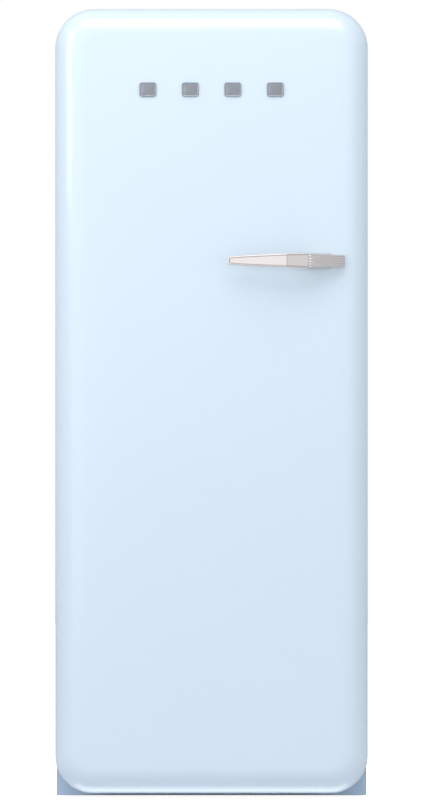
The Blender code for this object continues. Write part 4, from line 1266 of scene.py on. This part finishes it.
def compressor():
    """Welded can, its profile turned and widened across X, on a plate with four rubber mounts."""
    lo, hi = box("compressor")
    centre = ((lo[0] + hi[0]) / 2, (lo[1] + hi[1]) / 2, lo[2])
    height, radius = hi[2] - lo[2], (hi[1] - lo[1]) / 2
    # Shares of the radius and of the height, from the top of the lid down.
    lid = [(0, 1.0), (0.34, 0.995), (0.70, 0.93), (0.90, 0.80), (0.943, 0.64), (0.943, 0.525)]
    weld_flange = [(0.955, 0.515), (1.0, 0.51), (1.0, 0.475), (0.955, 0.47)]
    bowl = [(0.943, 0.46), (0.93, 0.27), (0.78, 0.08), (0.43, 0.015), (0, 0.0)]
    profile = softened([(r * radius, h * height) for r, h in lid + weld_flange + bowl], 0.010, 6)
    can = turned(profile, centre, "Z", 72, squash=float((hi[0] - lo[0]) / (2 * radius)))
    piece("compressor_can", can, "black_enamel", "cabinet", ["compressor"])
    lo, hi = box("compressor_foot_plate")
    plate = slab(lo, hi, 0.012, 0.0008)
    piece("compressor_mount_plate", plate, "black_enamel", "cabinet", ["compressor_foot_plate"])
    mounts = []
    for x in (lo[0] + 0.014, hi[0] - 0.014):
        for y in (lo[1] + 0.014, hi[1] - 0.014):
            profile = [(0.0, 0.0), (0.009, 0.0), (0.009, 0.004), (0.006, 0.005), (0.006, 0.008), (0.0, 0.009)]
            mounts.append(turned(softened(profile, 0.0008, 3), (x, y, hi[2]), "Z", 28))
    piece("compressor_mounts", mounts, "black_rubber", "cabinet", ["compressor_foot_plate"])
    lo, hi = box("starter_relay")
    cap_lo = (hi[0] - 0.004, lo[1] + 0.006, lo[2] + 0.006)
    cap_hi = (hi[0], hi[1] - 0.006, hi[2] - 0.018)
    shapes = [slab(lo, hi, 0.004, 0.002, axis=0), slab(cap_lo, cap_hi, 0.003, 0.001, axis=0)]
    piece("relay_cover", shapes, "black_abs", "cabinet", ["starter_relay"])
    lo, hi = box("evaporation_tray")
    shape = vessel(lo, hi, 0.0025, 0.016, 0.010)
    piece("defrost_tray", shape, "moulded_polypropylene", "cabinet", ["evaporation_tray"])


def pipes():
    """Copper tubes from the compressor to the condenser and to the evaporator, along bent lines."""
    lo, hi = box("compressor")
    x, y, z = (lo[0] + hi[0]) / 2, (lo[1] + hi[1]) / 2, lo[2] - GAP
    coil_lo, coil_hi = box("condenser_coil")
    coil_y = (coil_lo[1] + coil_hi[1]) / 2
    hot = [(-70, 30, 110), (-100, 45, 120), (-115, 60, 150), (-118, 75, 170), (-105, 96, 215)]
    cold = [(60, 45, 105), (90, 60, 120), (110, 70, 150), (125, 78, 180), (130, 94, 215)]
    hot = [(x + a / 1000, y + b / 1000, z + c / 1000) for a, b, c in hot]
    cold = [(x + a / 1000, y + b / 1000, z + c / 1000) for a, b, c in cold]
    hot += [(x - 0.090, coil_y, z + 0.275), (x - 0.090, coil_y, coil_lo[2] - 0.009)]
    cold += [(x + 0.130, CABINET_BACK + 0.006, z + 0.300), (x + 0.130, CABINET_BACK + 0.006, 1.000)]
    for node, name, path in (("discharge_pipe", "hot_line", hot), ("suction_pipe", "cold_line", cold)):
        shape = tube(softened(path, 0.014, 6), 0.003, (0.3, 1, 0.2), 14)
        piece(name, shape, "drawn_copper", "cabinet", [node])


def feet():
    """Rubber pads on threaded stems. The thread is a row of ridges a millimetre apart."""
    for node in ("foot_left", "foot_right"):
        lo, hi = box(node)
        centre = ((lo[0] + hi[0]) / 2, (lo[1] + hi[1]) / 2, 0.0)
        radius = (hi[0] - lo[0]) / 2
        rim = 0.0077
        profile = [
            (0.0, 0.0),
            (radius - 0.002, 0.0),
            (radius, 0.002),
            (radius, rim - 0.001),
            (radius - 0.001, rim),
            (0.0, rim),
        ]
        pad = turned(softened(profile, 0.0008, 3), centre, "Z", 40)
        piece(f"{node}_pad", pad, "grey_rubber", node, [node])
        levels = np.arange(rim, hi[2] - 0.0005, 0.0005)
        ridges = 0.0050 - 0.0005 * (np.arange(len(levels)) % 2)
        thread = np.vstack([(0.0, rim), np.stack([ridges, levels], axis=-1), (0.0, levels[-1] + 0.0004)])
        stem = turned(thread, centre, "Z", 24)
        piece(f"{node}_stem", stem, "zinc_plate", node, [node])


def rollers():
    """Moulded wheels with a hollow hub, on an axle held by a folded bracket."""
    for side in ("left", "right"):
        lo, hi = box(f"roller_{side}")
        centre = (lo + hi) / 2
        half, radius = (hi[0] - lo[0]) / 2, (hi[2] - lo[2]) / 2
        section = [
            (0.0036, half),
            (0.0062, half),
            (0.0066, half - 0.001),
            (0.0074, half - 0.001),
            (0.0078, half),
            (radius, half),
        ]
        section += [(r, -h) for r, h in section[::-1]]
        ring = softened(section, 0.0005, 3, closed=True)
        shape = turned(np.vstack([ring, ring[:1]]), centre, "X", 40)
        node = f"roller_{side}"
        piece(f"{node}_wheel", shape, "moulded_polypropylene", node, [node])


def carried_over():
    """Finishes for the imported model's own meshes that are shown as they are."""
    chosen = {
        "cabinet_foam": "polyurethane_foam",
        "door_foam": "polyurethane_foam",
        "machine_bay_panel": "galvanised_sheet",
        "base_pan": "galvanised_sheet",
        "compressor_rail": "galvanised_sheet",
        "roller_bracket_left": "zinc_plate",
        "roller_bracket_right": "zinc_plate",
    }
    for node, finish in chosen.items():
        bpy.data.objects[node].material_slots[0].material = FINISH[finish]


# Studio


def studio_air():
    """White for the camera, and a slightly dimmer, cooler white for everything that it lights."""
    world = bpy.data.worlds.new("studio_air")
    bpy.context.scene.world = world
    world.use_nodes = True
    tree = world.node_tree
    background = tree.nodes["Background"]
    ray = add(tree, "ShaderNodeLightPath")
    seen = add(tree, "ShaderNodeBackground", {"Color": (1, 1, 1, 1), "Strength": 1.0})
    background.inputs["Color"].default_value = linear("#eef3f8")
    background.inputs["Strength"].default_value = 0.72
    mix = add(
        tree,
        "ShaderNodeMixShader",
        {0: ray.outputs["Is Camera Ray"], 1: background.outputs[0], 2: seen.outputs[0]},
    )
    tree.links.new(mix.outputs[0], tree.nodes["World Output"].inputs["Surface"])


def studio_floor():
    """A sheet of paper 14 m square."""
    floor_mesh = bpy.data.meshes.new("studio_floor")
    reach = 7.0
    floor_mesh.from_pydata(
        [(-reach, -reach, 0), (reach, -reach, 0), (reach, reach, 0), (-reach, reach, 0)], [], [(0, 1, 2, 3)]
    )
    tree = new_finish("studio_paper", "#dcdde0", Roughness=0.9, Emission_Color=(1, 1, 1, 1))
    # The paper glows for the camera alone, so it meets the white air without a line and lights nothing.
    seen = add(tree, "ShaderNodeLightPath").outputs["Is Camera Ray"]
    drive(tree, "Emission Strength", between(tree, seen, 0.0, 0.96))
    floor_mesh.materials.append(FINISH["studio_paper"])
    floor = bpy.data.objects.new("studio_floor", floor_mesh)
    bpy.context.scene.collection.objects.link(floor)


def studio_lamps():
    """Soft lamps round the front, and washes that the bright metal doesn't mirror."""
    # Each lamp: name, place, target, width, height, watts, and whether glossy surfaces mirror it.
    lamps = (
        ("overhead_softbox", (0.0, -1.55, 3.20), (0.0, -0.2, 1.3), 2.4, 1.5, 32.0, True),
        ("left_softbox", (-2.35, -1.65, 2.25), (0.0, -0.2, 1.5), 1.2, 2.0, 23.0, True),
        ("front_fill", (-3.10, -5.6, 1.2), (0.0, 0.0, 0.8), 5.4, 3.8, 46.0, True),
        ("right_fill", (3.4, -5.2, 1.3), (0.0, -0.1, 0.9), 4.0, 3.4, 15.0, True),
        ("front_wash", (-0.6, -6.2, 1.0), (0.0, 0.0, 0.8), 4.0, 3.0, 42.0, False),
        ("right_wash", (3.8, -2.6, 1.2), (0.0, -0.1, 0.9), 2.0, 2.4, 20.0, False),
        ("floor_bounce", (0.0, -0.279, 0.003), (0.0, -0.279, 1.0), 0.56, 0.03, 0.065, True),
    )
    for name, place, target, width, height, power, mirrored in lamps:
        light = bpy.data.lights.new(name, "AREA")
        light.shape = "RECTANGLE"
        light.size, light.size_y = width, height
        light.energy = power
        lamp = bpy.data.objects.new(name, light)
        lamp.location = place
        lamp.rotation_euler = (Vector(target) - Vector(place)).to_track_quat("-Z", "Y").to_euler()
        lamp.visible_camera = False
        lamp.visible_glossy = mirrored
        bpy.context.scene.collection.objects.link(lamp)


def camera():
    """Level view of the front from 9 m. The lens fits the height seen_height at edge_depth into the frame."""
    distance, seen_height = 9.0, 1.5437
    edge_depth = DOOR_BACK - 0.04
    aside, below_top = 0.0057, 0.7514
    data = bpy.data.cameras.new("front_camera")
    data.sensor_width = 36.0
    data.lens = 36.0 * distance / seen_height
    data.clip_end = 100.0
    made = bpy.data.objects.new("front_camera", data)
    made.location = (aside, edge_depth - distance, TOP - below_top)
    made.rotation_euler = (math.pi / 2, 0, 0)
    bpy.context.scene.collection.objects.link(made)
    bpy.context.scene.camera = made


def build():
    """Dresses every node of the model: the body, the door, the inside, and then the back and underside."""
    make_finishes()
    cabinet_shell()
    cabinet_front_frame()
    door_skin()
    handle_bar()
    handle_foot()
    tablets()
    door_gasket()
    door_liner()
    door_bins()
    dairy_lid()
    hinge_brackets()
    cabinet_liner()
    shelves()
    bottle_rack()
    drawers()
    freezer()
    controls()
    back_panel()
    condenser()
    rear_fittings()
    compressor()
    pipes()
    feet()
    rollers()
    carried_over()


bpy.context.scene.view_settings.view_transform = "Standard"
studio_air()
studio_floor()
studio_lamps()
camera()
build()
